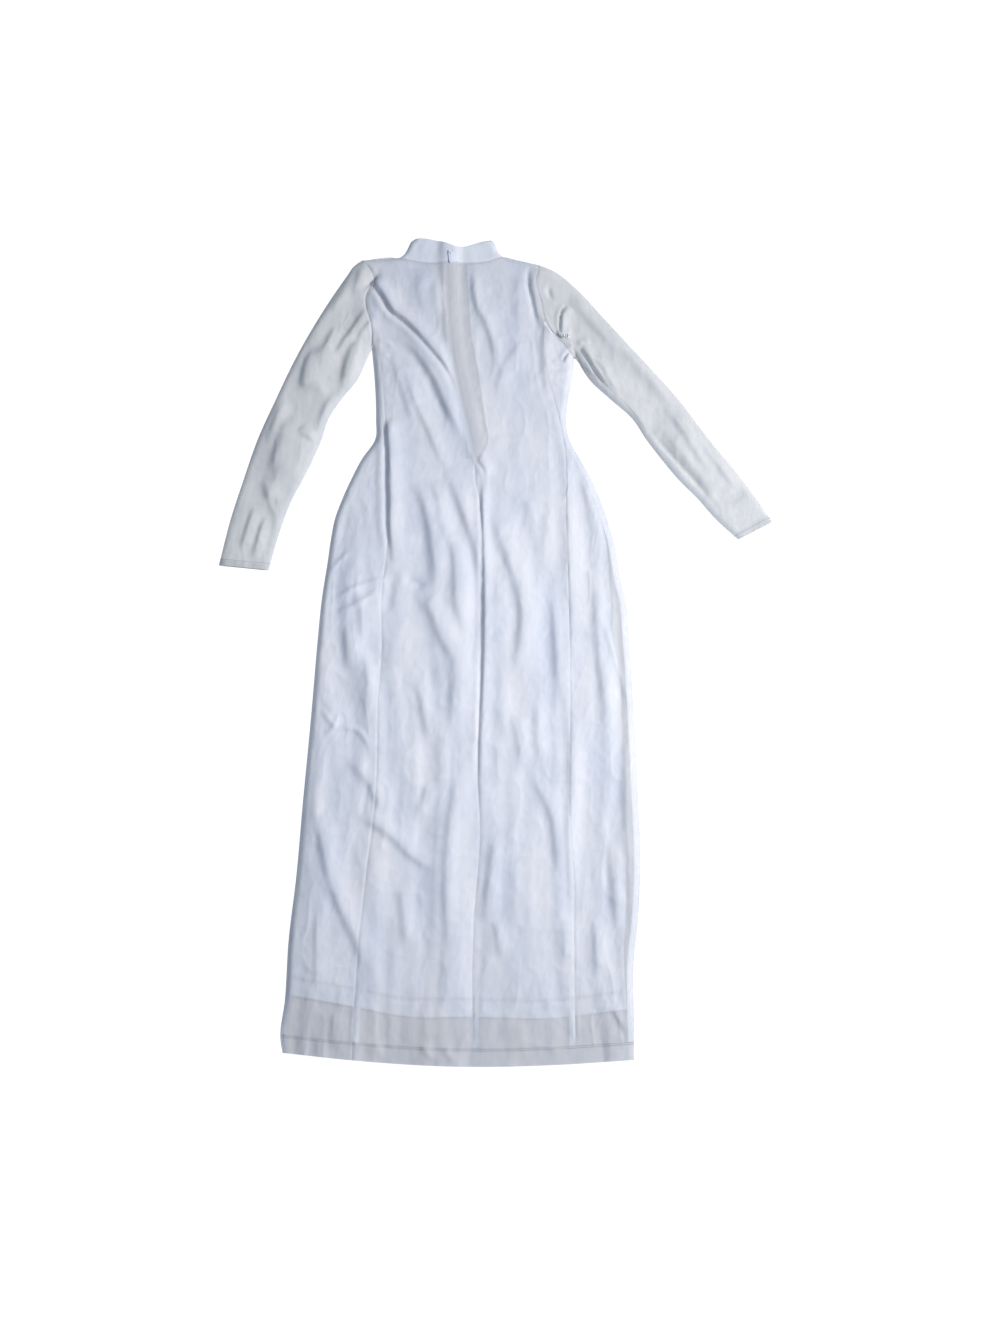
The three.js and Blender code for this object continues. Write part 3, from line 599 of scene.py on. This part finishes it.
def metal(name, colour, roughness, metallic):
    made, nodes, links, shader = material(name)
    place = nodes.new("ShaderNodeTexCoord")
    texture = nodes.new("ShaderNodeTexNoise")
    set_inputs(texture, {"Scale": 900})
    links.new(place.outputs["Object"], texture.inputs["Vector"])
    wear = nodes.new("ShaderNodeMapRange")
    set_inputs(wear, {"To Min": roughness - 0.08, "To Max": roughness + 0.12})
    links.new(texture.outputs["Fac"], wear.inputs["Value"])
    links.new(wear.outputs["Result"], shader.inputs["Roughness"])
    dent = nodes.new("ShaderNodeBump")
    set_inputs(dent, {"Strength": 0.08, "Distance": 0.0002})
    links.new(texture.outputs["Fac"], dent.inputs["Height"])
    links.new(dent.outputs["Normal"], shader.inputs["Normal"])
    set_inputs(shader, {"Base Color": (*colour, 1), "Metallic": metallic})
    return made


ENAMEL = metal("painted_zip_metal", (0.66, 0.70, 0.78), 0.35, 0.2)
COIL = metal("zip_coil_nylon", (0.68, 0.72, 0.79), 0.45, 0.0)


# ---------------------------------------------------------------- making cloth
def smooth_object(name, points, faces, grain, finish):
    """A mesh object from points in plan mm, with plan positions as its grain map."""
    mesh = bpy.data.meshes.new(name)
    mesh.from_pydata((np.asarray(points) * MM + ORIGIN).tolist(), [], faces)
    mesh.polygons.foreach_set("use_smooth", np.ones(len(mesh.polygons), bool))
    mesh.set_sharp_from_angle(angle=math.radians(55))
    corner = np.zeros(len(mesh.loops), int)
    mesh.loops.foreach_get("vertex_index", corner)
    layer = mesh.uv_layers.new(name="grain")
    layer.data.foreach_set("uv", (np.asarray(grain)[corner] * MM).ravel())
    mesh.materials.append(finish)
    made = bpy.data.objects.new(name, mesh)
    bpy.context.scene.collection.objects.link(made)
    return made


def normals(grid, ring):
    if ring:
        along_i = np.roll(grid, -1, 1) - np.roll(grid, 1, 1)
    else:
        along_i = np.gradient(grid, axis=1)
    n = np.cross(along_i, np.gradient(grid, axis=0))
    return n / np.maximum(np.linalg.norm(n, axis=2), 1e-9)[..., None]


def cloth(name, grid, finish, thickness=0.45, ring=False):
    """A sheet of that thickness from a grid of points (row, column, xyz), grown on its back.

    A ring is a tube: its last column joins its first."""
    rows, columns = grid.shape[:2]
    back = grid - normals(grid, ring) * thickness
    count = rows * columns
    index = np.arange(count).reshape(rows, columns)
    right = np.roll(index, -1, 1) if ring else index[:, 1:]
    left = index if ring else index[:, :-1]
    face = np.stack([left[:-1], right[:-1], right[1:], left[1:]], -1).reshape(-1, 4)
    faces = [face, face[:, ::-1] + count]

    def rim_strip(a, b):
        faces.append(np.stack([a, a + count, b + count, b], -1).reshape(-1, 4))

    rim_strip(left[0], right[0])
    rim_strip(right[-1], left[-1])
    if not ring:
        rim_strip(index[1:, 0], index[:-1, 0])
        rim_strip(index[:-1, -1], index[1:, -1])
    both = np.concatenate([grid.reshape(-1, 3), back.reshape(-1, 3)])
    uv = np.concatenate([grid[..., :2].reshape(-1, 2)] * 2)
    return smooth_object(name, both, np.concatenate(faces).tolist(), uv, finish)


def declare(piece, body, replaces=()):
    """Hides the CAD nodes that a piece of cloth stands for, and makes it move with its body."""
    if replaces:
        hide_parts(*replaces)
    move(piece, body)


def move(piece, body):
    """body is a CAD body, or bend_left or bend_right for cloth that runs on into that sleeve."""
    if body.startswith("bend_"):
        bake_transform(piece)
    else:
        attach(piece, body)


# ---------------------------------------------------------------- panels of the body
ROW_STEP, COLUMN_STEP = 3.4, 3.2
PANEL_LENGTH, PANEL_WIDTH = 1430, 200  # about, to count a panel's rows and columns


def panel(left, right, bottom, top, low=0.0, high=1.0, marks=(), step=(ROW_STEP, COLUMN_STEP)):
    """Plan points of a panel between two upright seams, in rows from its bottom edge to its top.

    low and high are the share of the way up at which it starts and ends."""
    rows = int(PANEL_LENGTH * (high - low) / step[0])
    share = np.unique(np.round(np.concatenate([np.linspace(low, high, rows), marks]), 6))
    share = share[(share >= low) & (share <= high)]
    columns = int(PANEL_WIDTH / step[1])
    across = np.linspace(0, 1, columns)
    s, u = np.meshgrid(share, across, indexing="ij")
    y = PANEL_LENGTH * s
    for _ in range(6):
        l, r = left(y), right(y)
        x = l + (r - l) * u
        y = bottom(x) + s * (top(x) - bottom(x))
    return x, y


def share_of(x, y):
    """How far up the outer cloth the point lies, as a share of its length there."""
    return float((y - hem(x)) / (shoulder(x) - hem(x)))


def lifted(x, y, height):
    return np.stack([x, y, height], -1)


BACK = {
    "outer_back_side_left": (edge_left, princess_left, PRINCESS_TOP_LEFT, "bend_left"),
    "outer_back_centre_left": (
        lambda y: np.where(y < PRINCESS_TOP_LEFT, princess_left(y), edge_left(y)),
        centre_back, None, "bend_left",
    ),
    "outer_back_centre_right": (
        centre_back,
        lambda y: np.where(y < PRINCESS_TOP_RIGHT, princess_right(y), edge_right(y)),
        None, "bend_right",
    ),
    "outer_back_side_right": (princess_right, edge_right, PRINCESS_TOP_RIGHT, "bend_right"),
}  # fmt: skip
MARKS = [
    share_of(-176, PRINCESS_TOP_LEFT), share_of(141, PRINCESS_TOP_RIGHT),
    share_of(-171, UNDERARM_LEFT), share_of(195, UNDERARM_RIGHT),
]  # fmt: skip

for name, (left, right, stop, body) in BACK.items():
    high = 1.0 if stop is None else share_of(left(stop) if "right" in name else right(stop), stop)
    x, y = panel(left, right, hem, shoulder, 0, high, MARKS)
    grid = lifted(x, y, top_height(x, y))
    piece = cloth(name, grid, MESH)
    declare(piece, body, [name])

centre_front = upright((-8, 0), (-8, 700), (-20, 1100), (-27, 1440))
FRONT = {
    "outer_front_side_left": (edge_left, princess_left, PRINCESS_TOP_LEFT, "bend_left"),
    "outer_front_centre_left": (BACK["outer_back_centre_left"][0], centre_front, None, "bend_left"),
    "outer_front_centre_right": (
        centre_front, BACK["outer_back_centre_right"][1], None, "bend_right",
    ),
    "outer_front_side_right": (princess_right, edge_right, PRINCESS_TOP_RIGHT, "bend_right"),
}  # fmt: skip
# The front panels take the darker front mesh, whose colour is painted shade.
for name, (left, right, stop, body) in FRONT.items():
    high = 1.0 if stop is None else share_of(left(stop) if "right" in name else right(stop), stop)
    x, y = panel(left, right, hem, shoulder, 0, high, MARKS, (7.0, 7.0))
    grid = lifted(x, y, under_height(x, y))
    piece = cloth(name, grid, SHADED_FRONT_MESH)
    node = "outer_front_centre" if "centre" in name else name
    declare(piece, body, [node])

# ---------------------------------------------------------------- lining
LINING_UNDER = 1.5  # below the outer cloth
ZIP_RISE = 0.8  # higher beside the zip, over its left tape


def lining_left(y):
    return edge_left(y) + 8


def lining_right(y):
    return edge_right(y) - spline([0, 90, 236, 400, 560, 640, 740, 830, 1000, 1500],
                                  [14, 12, 22, 24, 22, 20, 30, 18, 10, 8], y)  # fmt: skip


def lining_top(x):
    return shoulder(x) - 4


def zip_side(y):
    """The right lining stops short of the zip, and leaves its tape seen through the mesh."""
    gap = spline([900, 1030, 1060, 1126, 1210, 1280, 1441], [0, 0, 22, 30, 36, 35, 33], y)
    return centre_back(y) + np.maximum(gap, 0)


def by_zip(y):
    return centre_back(y) - 0.3 - 5.4 * ease((y - ZIP_LOW + 20) / 15)


LININGS = {
    "lining_back_left": (lining_left, by_zip, "bend_left", True),
    "lining_back_right": (zip_side, lining_right, "bend_right", True),
    "lining_front_left": (lining_left, centre_front, "bend_left", False),
    "lining_front_right": (centre_front, lining_right, "bend_right", False),
}
for name, (left, right, body, above) in LININGS.items():
    x, y = panel(left, right, lining_hem, lining_top, step=(4.5, 4.5) if above else (9.0, 9.0))
    z = under_height(x, y) + 1.1
    if above:
        # Under the lowest cloth within reach, so that it never shows above a sharp crease.
        lowest = np.minimum.reduce([top_height(x + reach, y) for reach in (-3, 0, 3)])
        z = lowest - LINING_UNDER + ZIP_RISE * zip_strip(x, y)
    grid = lifted(x, y, z)
    piece = cloth(name, grid, LINING, 0.35)
    node = name if above else "lining_front"
    declare(piece, body, [node])


# ---------------------------------------------------------------- sleeves
def coons(first, last, start, end, rows, columns):
    """Plan points inside four lines: rows run from start to end, columns from first to last."""
    a, b = spread(first, rows)[:, None], spread(last, rows)[:, None]
    c, d = spread(start, columns)[None], spread(end, columns)[None]
    u = np.linspace(0, 1, columns)[None, :, None]
    v = np.linspace(0, 1, rows)[:, None, None]
    corners = (
        (1 - u) * (1 - v) * a[0] + u * (1 - v) * b[0] + (1 - u) * v * a[-1] + u * v * b[-1]
    )
    return (1 - u) * a + u * b + (1 - v) * c + v * d - corners


def sleeve_plan(side, rows=170, columns=40):
    lines = SLEEVES[side]
    cuff = [lines["inner"][-1], lines["outer"][-1]]
    plan = coons(lines["inner"], lines["outer"], lines["armhole"], cuff, rows, columns)
    return plan if side == "left" else plan[:, ::-1]


CUFF_HEM = {"left": 13.0, "right": 10.0}

for side in SLEEVES:
    plan = sleeve_plan(side)
    x, y = plan[..., 0], plan[..., 1]
    upper = lifted(x, y, top_height(x, y))
    lower = lifted(x, y, under_height(x, y))
    # Round the tube: the upper face one way, then the under face back.
    tube = np.concatenate([upper, lower[:, -2:0:-1]], axis=1)
    tube = tube[::-1]
    if normals(tube, True)[8, 8, 2] < 0:  # the tube's outside faces out
        tube = tube[:, ::-1]
    name = f"sleeve_{side}"
    piece = cloth(name, tube, SLEEVE_MESH, ring=True)
    stands_for = [f"{name}_upper_face", f"{name}_under_face", f"{name}_outer_fold"]
    length = float(np.linalg.norm(np.diff(plan[:, -1], axis=0), axis=1).sum()) * MM
    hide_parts(*stands_for)
    move(piece, f"bend_{side}")
    # The cuff's turned-in hem, inside the end of the tube.
    rows = int(round(CUFF_HEM[side] / (length / MM / (len(plan) - 1)))) + 1
    turned = tube[:rows] - normals(tube, True)[:rows] * 0.5
    piece = cloth(f"cuff_hem_{side}", turned, SLEEVE_MESH, ring=True)
    depth = length * (rows - 1) / (len(plan) - 1)
    move(piece, f"sleeve_{side}")


# ---------------------------------------------------------------- seams, hems and stitches
SEAM_WIDTH = 10.0
SEAM_THICK = 0.7  # doubled cloth
SEAM_UNDER = 0.6  # below the upper cloth
HEM_DEPTH = 29.0
LINING_HEM_DEPTH = 31.0


def ribbon(points, low, high, columns=5, step=4.0):
    """Plan points of a strip beside a line, from low to high mm to the left of its way."""
    p = trace(points, step)
    way = np.gradient(p, axis=0)
    way /= np.linalg.norm(way, axis=1)[:, None]
    out = np.stack([-way[:, 1], way[:, 0]], 1)
    plan = p[:, None] + out[:, None] * np.linspace(low, high, columns)[None, :, None]
    return plan[..., 0], plan[..., 1]


def outline_of(seam, low, high, step=8.0):
    """The points of an upright seam between two heights."""
    y = np.linspace(low, high, int((high - low) / step) + 1)
    return np.stack([seam(y), y], 1).tolist()


def allowance(name, points, low, high, body, nodes=()):
    """The seam allowance beside a seam: doubled cloth, pressed flat under the upper cloth."""
    x, y = ribbon(points, low, high)
    lowest = np.minimum.reduce([top_height(x + reach, y) for reach in (-2.5, 0, 2.5)])
    z = np.maximum(lowest - SEAM_UNDER, under_height(x, y) + SEAM_THICK + 0.2)
    grid = lifted(x, y, z)
    grid = grid if high < low else grid[:, ::-1]
    piece = cloth(name, grid, SEAM, SEAM_THICK)
    declare(piece, body, nodes)


left_side = outline_of(side_left, 24, UNDERARM_LEFT - 1)
right_side = outline_of(side_right, 13, UNDERARM_RIGHT - 1)
allowance("side_seam_left", left_side, -1, -1 - SEAM_WIDTH, "bend_left", ["side_seam_left"])
allowance("side_seam_right", right_side, 1, 1 + SEAM_WIDTH, "bend_right", ["side_seam_right"])
shoulder_left = [(-189, 1427), (-158, 1429), (-127, 1432)]
shoulder_right = [(73, 1433), (108, 1424), (131, 1417)]
for side, points in (("left", shoulder_left), ("right", shoulder_right)):
    name = f"shoulder_seam_{side}"
    allowance(name, points, -1, -1 - SEAM_WIDTH, f"bend_{side}", [name])
for side, low, high in (("left", 1, 1 + SEAM_WIDTH), ("right", -1, -1 - SEAM_WIDTH)):
    # The sleeve's lines run down the arm, so its inside lies to their right or left.
    name = f"sleeve_{side}_underarm_seam"
    allowance(name, SLEEVES[side]["inner"][1:], -low, -high, f"bend_{side}", [name])
    name = f"armhole_seam_{side}"
    allowance(name, SLEEVES[side]["armhole"], low, high, f"bend_{side}")
PRINCESS_SEAM_TOP_RIGHT = 1300.0  # just short of the armhole
princess = (
    ("left", princess_left, PRINCESS_TOP_LEFT),
    ("right", princess_right, PRINCESS_SEAM_TOP_RIGHT),
)
for side, seam, top in princess:
    points = outline_of(seam, 30, top)
    inward = -SEAM_WIDTH if side == "left" else SEAM_WIDTH
    allowance(f"princess_seam_{side}", points, 0, inward, f"bend_{side}")
allowance("centre_back_seam", outline_of(centre_back, 30, ZIP_LOW), 0, -SEAM_WIDTH, "gown_body")


def turned_hem(name, edge, depth, left, right, height, finish):
    """The turned-up band of a hem, inside the cloth whose height is given."""
    s, u = np.meshgrid(np.linspace(0, 1, 9), np.linspace(0, 1, 150), indexing="ij")
    y = edge(0.0) + 0 * s
    for _ in range(5):
        x = left(y) + (right(y) - left(y)) * u
        y = edge(x) + depth * s
    grid = lifted(x, y, height(x, y))
    piece = cloth(name, grid, finish, 0.4)
    declare(piece, "gown_body")


turned_hem(
    "hem_band_back", hem, HEM_DEPTH, lambda y: side_left(y) + 1, lambda y: side_right(y) - 1,
    lambda x, y: top_height(x, y) - 0.55, MESH,
)  # fmt: skip
# The front's hem band takes the darker front mesh, whose colour is painted shade.
turned_hem(
    "hem_band_front", hem, HEM_DEPTH, lambda y: side_left(y) + 1, lambda y: side_right(y) - 1,
    lambda x, y: under_height(x, y) + 0.5, SHADED_FRONT_MESH,
)  # fmt: skip
turned_hem(
    "lining_hem_band_back", lining_hem, LINING_HEM_DEPTH, lining_left, lining_right,
    lambda x, y: top_height(x, y) - LINING_UNDER - 0.45, LINING,
)  # fmt: skip


STITCH_PITCH, STITCH_LENGTH, STITCH_RADIUS = 3.4, 2.9, 0.55


def stitches(name, points, height, body):
    """A row of stitches lying on cloth along a line, each a strand that dips in at its ends."""
    p = trace(points, STITCH_PITCH)
    way = np.gradient(p, axis=0)
    way /= np.linalg.norm(way, axis=1)[:, None]
    out = np.stack([-way[:, 1], way[:, 0]], 1)
    ends = [p - way * STITCH_LENGTH / 2, p + way * STITCH_LENGTH / 2]
    middle = height(p[:, 0], p[:, 1])
    rings = [np.column_stack([ends[0], height(*ends[0].T) - 0.1])]
    sides = ((STITCH_RADIUS, 0.1), (0, 0.15 + STITCH_RADIUS), (-STITCH_RADIUS, 0.1), (0, -0.1))
    for across, up in sides:
        rings.append(np.column_stack([p + out * across, middle + up]))
    rings.append(np.column_stack([ends[1], height(*ends[1].T) - 0.1]))
    points3 = np.stack(rings, 1).reshape(-1, 3)
    one = [(0, 2, 1), (0, 3, 2), (0, 4, 3), (0, 1, 4), (5, 1, 2), (5, 2, 3), (5, 3, 4), (5, 4, 1)]
    base = np.arange(len(p))[:, None, None] * 6
    faces = (np.array(one)[None] + base).reshape(-1, 3).tolist()
    piece = smooth_object(name, points3, faces, points3[:, :2], THREAD)
    move(piece, body)


def beside(edge, left, right, rise):
    """The line at a rise above a hem, from its left to its right end."""
    x = np.linspace(left, right, 60)
    return np.column_stack([x, edge(x) + rise]).tolist()


def on_lining(x, y):
    return top_height(x, y) - LINING_UNDER + 0.3


STITCHED_HEMS = {
    "hem": (hem, -291, 276, HEM_DEPTH, top_height),
    "lining_hem": (lining_hem, -280, 262, LINING_HEM_DEPTH, on_lining),
}
for name, (edge, left, right, depth, height) in STITCHED_HEMS.items():
    for row, inside in (("lower", 4.0), ("upper", 1.0)):
        line = beside(edge, left, right, depth - inside)
        stitches(f"{name}_stitches_{row}", line, height, "gown_body")
for side in SLEEVES:
    inner, outer = (np.array(SLEEVES[side][k], float) for k in ("inner", "outer"))
    up_arm = [(p[-2] - p[-1]) / np.linalg.norm(p[-2] - p[-1]) for p in (inner, outer)]
    ends = [p[-1] + w * (CUFF_HEM[side] - 1.5) for p, w in zip((inner, outer), up_arm)]
    line = np.linspace(ends[0], ends[1], 12)
    stitches(f"cuff_stitches_{side}", line.tolist(), top_height, f"sleeve_{side}")

# ---------------------------------------------------------------- collar
COLLAR_BASE_LEFT = [(-124, 1429), (-112, 1423), (-96, 1419), (-62, 1417), (-32, 1416)]
COLLAR_BASE_RIGHT = [(-32, 1416), (0, 1417), (36, 1419), (54, 1423), (70, 1430)]
COLLAR_BASE_FRONT = COLLAR_BASE_LEFT + COLLAR_BASE_RIGHT[1:]
COLLAR_CENTRE = [(-32, 1416), (-31, 1431), (-27, 1442), (-23, 1451)]
COLLAR_CLOTH = 0.9  # two layers


def above_seam(x, y):
    """The collar's height, lapped under the panels below its seam."""
    return top_height(x, y) - 0.6 * (1 - ease((y - shoulder(x) - 0.5) / 3))


def collar(name, sides, base, top, height, nodes, columns=36):
    plan = coons(sides[0], sides[1], base, top, 16, columns)
    x, y = plan[..., 0], plan[..., 1]
    grid = lifted(x, y, height(x, y))
    piece = cloth(name, grid, COLLAR, COLLAR_CLOTH)
    declare(piece, "gown_body", nodes)


collar(
    "collar_back_left", (COLLAR_END_LEFT, COLLAR_CENTRE), COLLAR_BASE_LEFT,
    COLLAR_TOP_LEFT[::-1], above_seam, ["collar_back_left", "collar_fold_left"],
)  # fmt: skip
collar(
    "collar_back_right", (COLLAR_CENTRE, COLLAR_END_RIGHT), COLLAR_BASE_RIGHT,
    COLLAR_TOP_RIGHT, above_seam, ["collar_back_right", "collar_fold_right"],
)  # fmt: skip
collar(
    "collar_front", (COLLAR_END_LEFT, COLLAR_END_RIGHT), COLLAR_BASE_FRONT, COLLAR_TOP_FRONT,
    lambda x, y: under_height(x, y) + 1.0, ["collar_front"], 70,
)  # fmt: skip

# ---------------------------------------------------------------- zip
TAPE_WIDTH, TAPE_TOP = 13.0, 11.6
COIL_PITCH, COIL_ACROSS, COIL_UP, COIL_WIRE = 1.6, 0.75, 0.42, 0.24
COIL_MIDDLE = 10.3
COIL_STEPS, COIL_SIDES = 10, 5  # points round each turn, and round the wire
GUARD_NEAR, GUARD_FAR = 6, 34  # the guard strip's edges, from the centre back
GUARD_LOW, GUARD_HIGH = ZIP_LOW + 22, 1414

# The guard strip that hangs behind the zip, on its right.
x, y = ribbon(outline_of(centre_back, GUARD_LOW, GUARD_HIGH), -GUARD_NEAR, -GUARD_FAR, 9)
grid = lifted(x, y, top_height(x, y) - 3.7 + 0.7 * ease((x - centre_back(y) - 12) / 20))
piece = cloth("zip_guard", grid, TAPE, 0.4)
declare(piece, "gown_body")

for side, sign in (("left", -1), ("right", 1)):
    line = outline_of(centre_back, ZIP_LOW, ZIP_HIGH - 6, 4.0)
    x, y = ribbon(line, -0.6 * sign, -(TAPE_WIDTH + 0.6) * sign, 6)
    grid = lifted(x, y, TAPE_TOP + 0.06 * ripple(x, y, 9, 14, 31))
    grid = grid[:, ::-1] if side == "left" else grid
    piece = cloth(f"zip_tape_{side}", grid, TAPE, 0.5)
    declare(piece, "gown_body", [f"zip_tape_{side}"])

    # The coil is one bent wire whose turns mesh with the other coil's.
    turns = int((ZIP_HIGH - 12 - ZIP_LOW) / COIL_PITCH)
    angle = np.linspace(0, 2 * math.pi * turns, turns * COIL_STEPS)
    y = ZIP_LOW + 6 + angle / (2 * math.pi) * COIL_PITCH
    x = centre_back(y) + sign * (1.0 + COIL_ACROSS * np.cos(angle + (sign < 0) * math.pi))
    wire = np.column_stack([x, y, COIL_MIDDLE + COIL_UP * np.sin(angle)])
    way = np.gradient(wire, axis=0)
    way /= np.linalg.norm(way, axis=1)[:, None]
    first = np.cross(way, [0, 1, 0])
    first /= np.linalg.norm(first, axis=1)[:, None]
    second = np.cross(way, first)
    round_it = np.arange(COIL_SIDES) * 2 * math.pi / COIL_SIDES
    tube = wire[:, None] + COIL_WIRE * (
        first[:, None] * np.cos(round_it)[None, :, None]
        + second[:, None] * np.sin(round_it)[None, :, None]
    )
    index = np.arange(len(wire) * COIL_SIDES).reshape(-1, COIL_SIDES)
    turned = np.roll(index, -1, 1)
    faces = np.stack([index[:-1], turned[:-1], turned[1:], index[1:]], -1).reshape(-1, 4)
    faces = faces.tolist() + [index[0, ::-1].tolist(), index[-1].tolist()]
    flat = tube.reshape(-1, 3)
    piece = smooth_object(f"zip_coil_{side}", flat, faces, flat[:, :2], COIL)
    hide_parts(f"zip_coil_{side}")
    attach(piece, "gown_body")

for name in ("zip_slider", "zip_pull", "zip_top_stop_left", "zip_top_stop_right", "zip_bottom_stop"):
    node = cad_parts[name]
    node.data.materials.clear()
    node.data.materials.append(ENAMEL)

# ---------------------------------------------------------------- camera, floor and light
camera_data = bpy.data.cameras.new("camera")
camera_data.sensor_width = 36
camera_data.lens = 40.5
camera = bpy.data.objects.new("camera", camera_data)
camera.location = (0.0067, -0.6491, 2.5096)
camera.rotation_euler = (math.radians(13), 0, 0)
bpy.context.scene.collection.objects.link(camera)
bpy.context.scene.camera = camera

floor_mesh = bpy.data.meshes.new("floor")
floor_mesh.from_pydata([(-15, -15, 0), (15, -15, 0), (15, 15, 0), (-15, 15, 0)], [], [(0, 1, 2, 3)])
floor = bpy.data.objects.new("floor", floor_mesh)
bpy.context.scene.collection.objects.link(floor)
pale, nodes, links, shader = material("pale_floor")
set_inputs(shader, {"Base Color": (0.1, 0.1, 0.1, 1), "Roughness": 0.9})
set_inputs(shader, {"Emission Color": (1, 1, 1, 1), "Emission Strength": 1.0})
floor_mesh.materials.append(pale)
floor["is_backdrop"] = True


def area_light(name, place, target, size, power, colour=(1, 1, 1)):
    data = bpy.data.lights.new(name, "AREA")
    data.shape = "DISK"
    data.size, data.energy, data.color = size, power, colour
    lamp = bpy.data.objects.new(name, data)
    lamp.location = place
    lamp.rotation_euler = (Vector(target) - Vector(place)).to_track_quat("-Z", "Y").to_euler()
    bpy.context.scene.collection.objects.link(lamp)


area_light("key", (2.9, 0.2, 2.5), (0.0, 0.0, 0), 0.5, 190, (1.0, 0.97, 0.93))
area_light("fill", (0.1, -0.08, 1.15), (0.1, -0.08, 0), 0.6, 6.4, (0.95, 0.97, 1.0))
world = bpy.data.worlds.new("studio")
bpy.context.scene.world = world
world.use_nodes = True
sky = world.node_tree.nodes["Background"]
set_inputs(sky, {"Color": (0.45, 0.67, 1, 1), "Strength": 0.3})
bpy.context.scene.view_settings.view_transform = "Standard"

low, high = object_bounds()
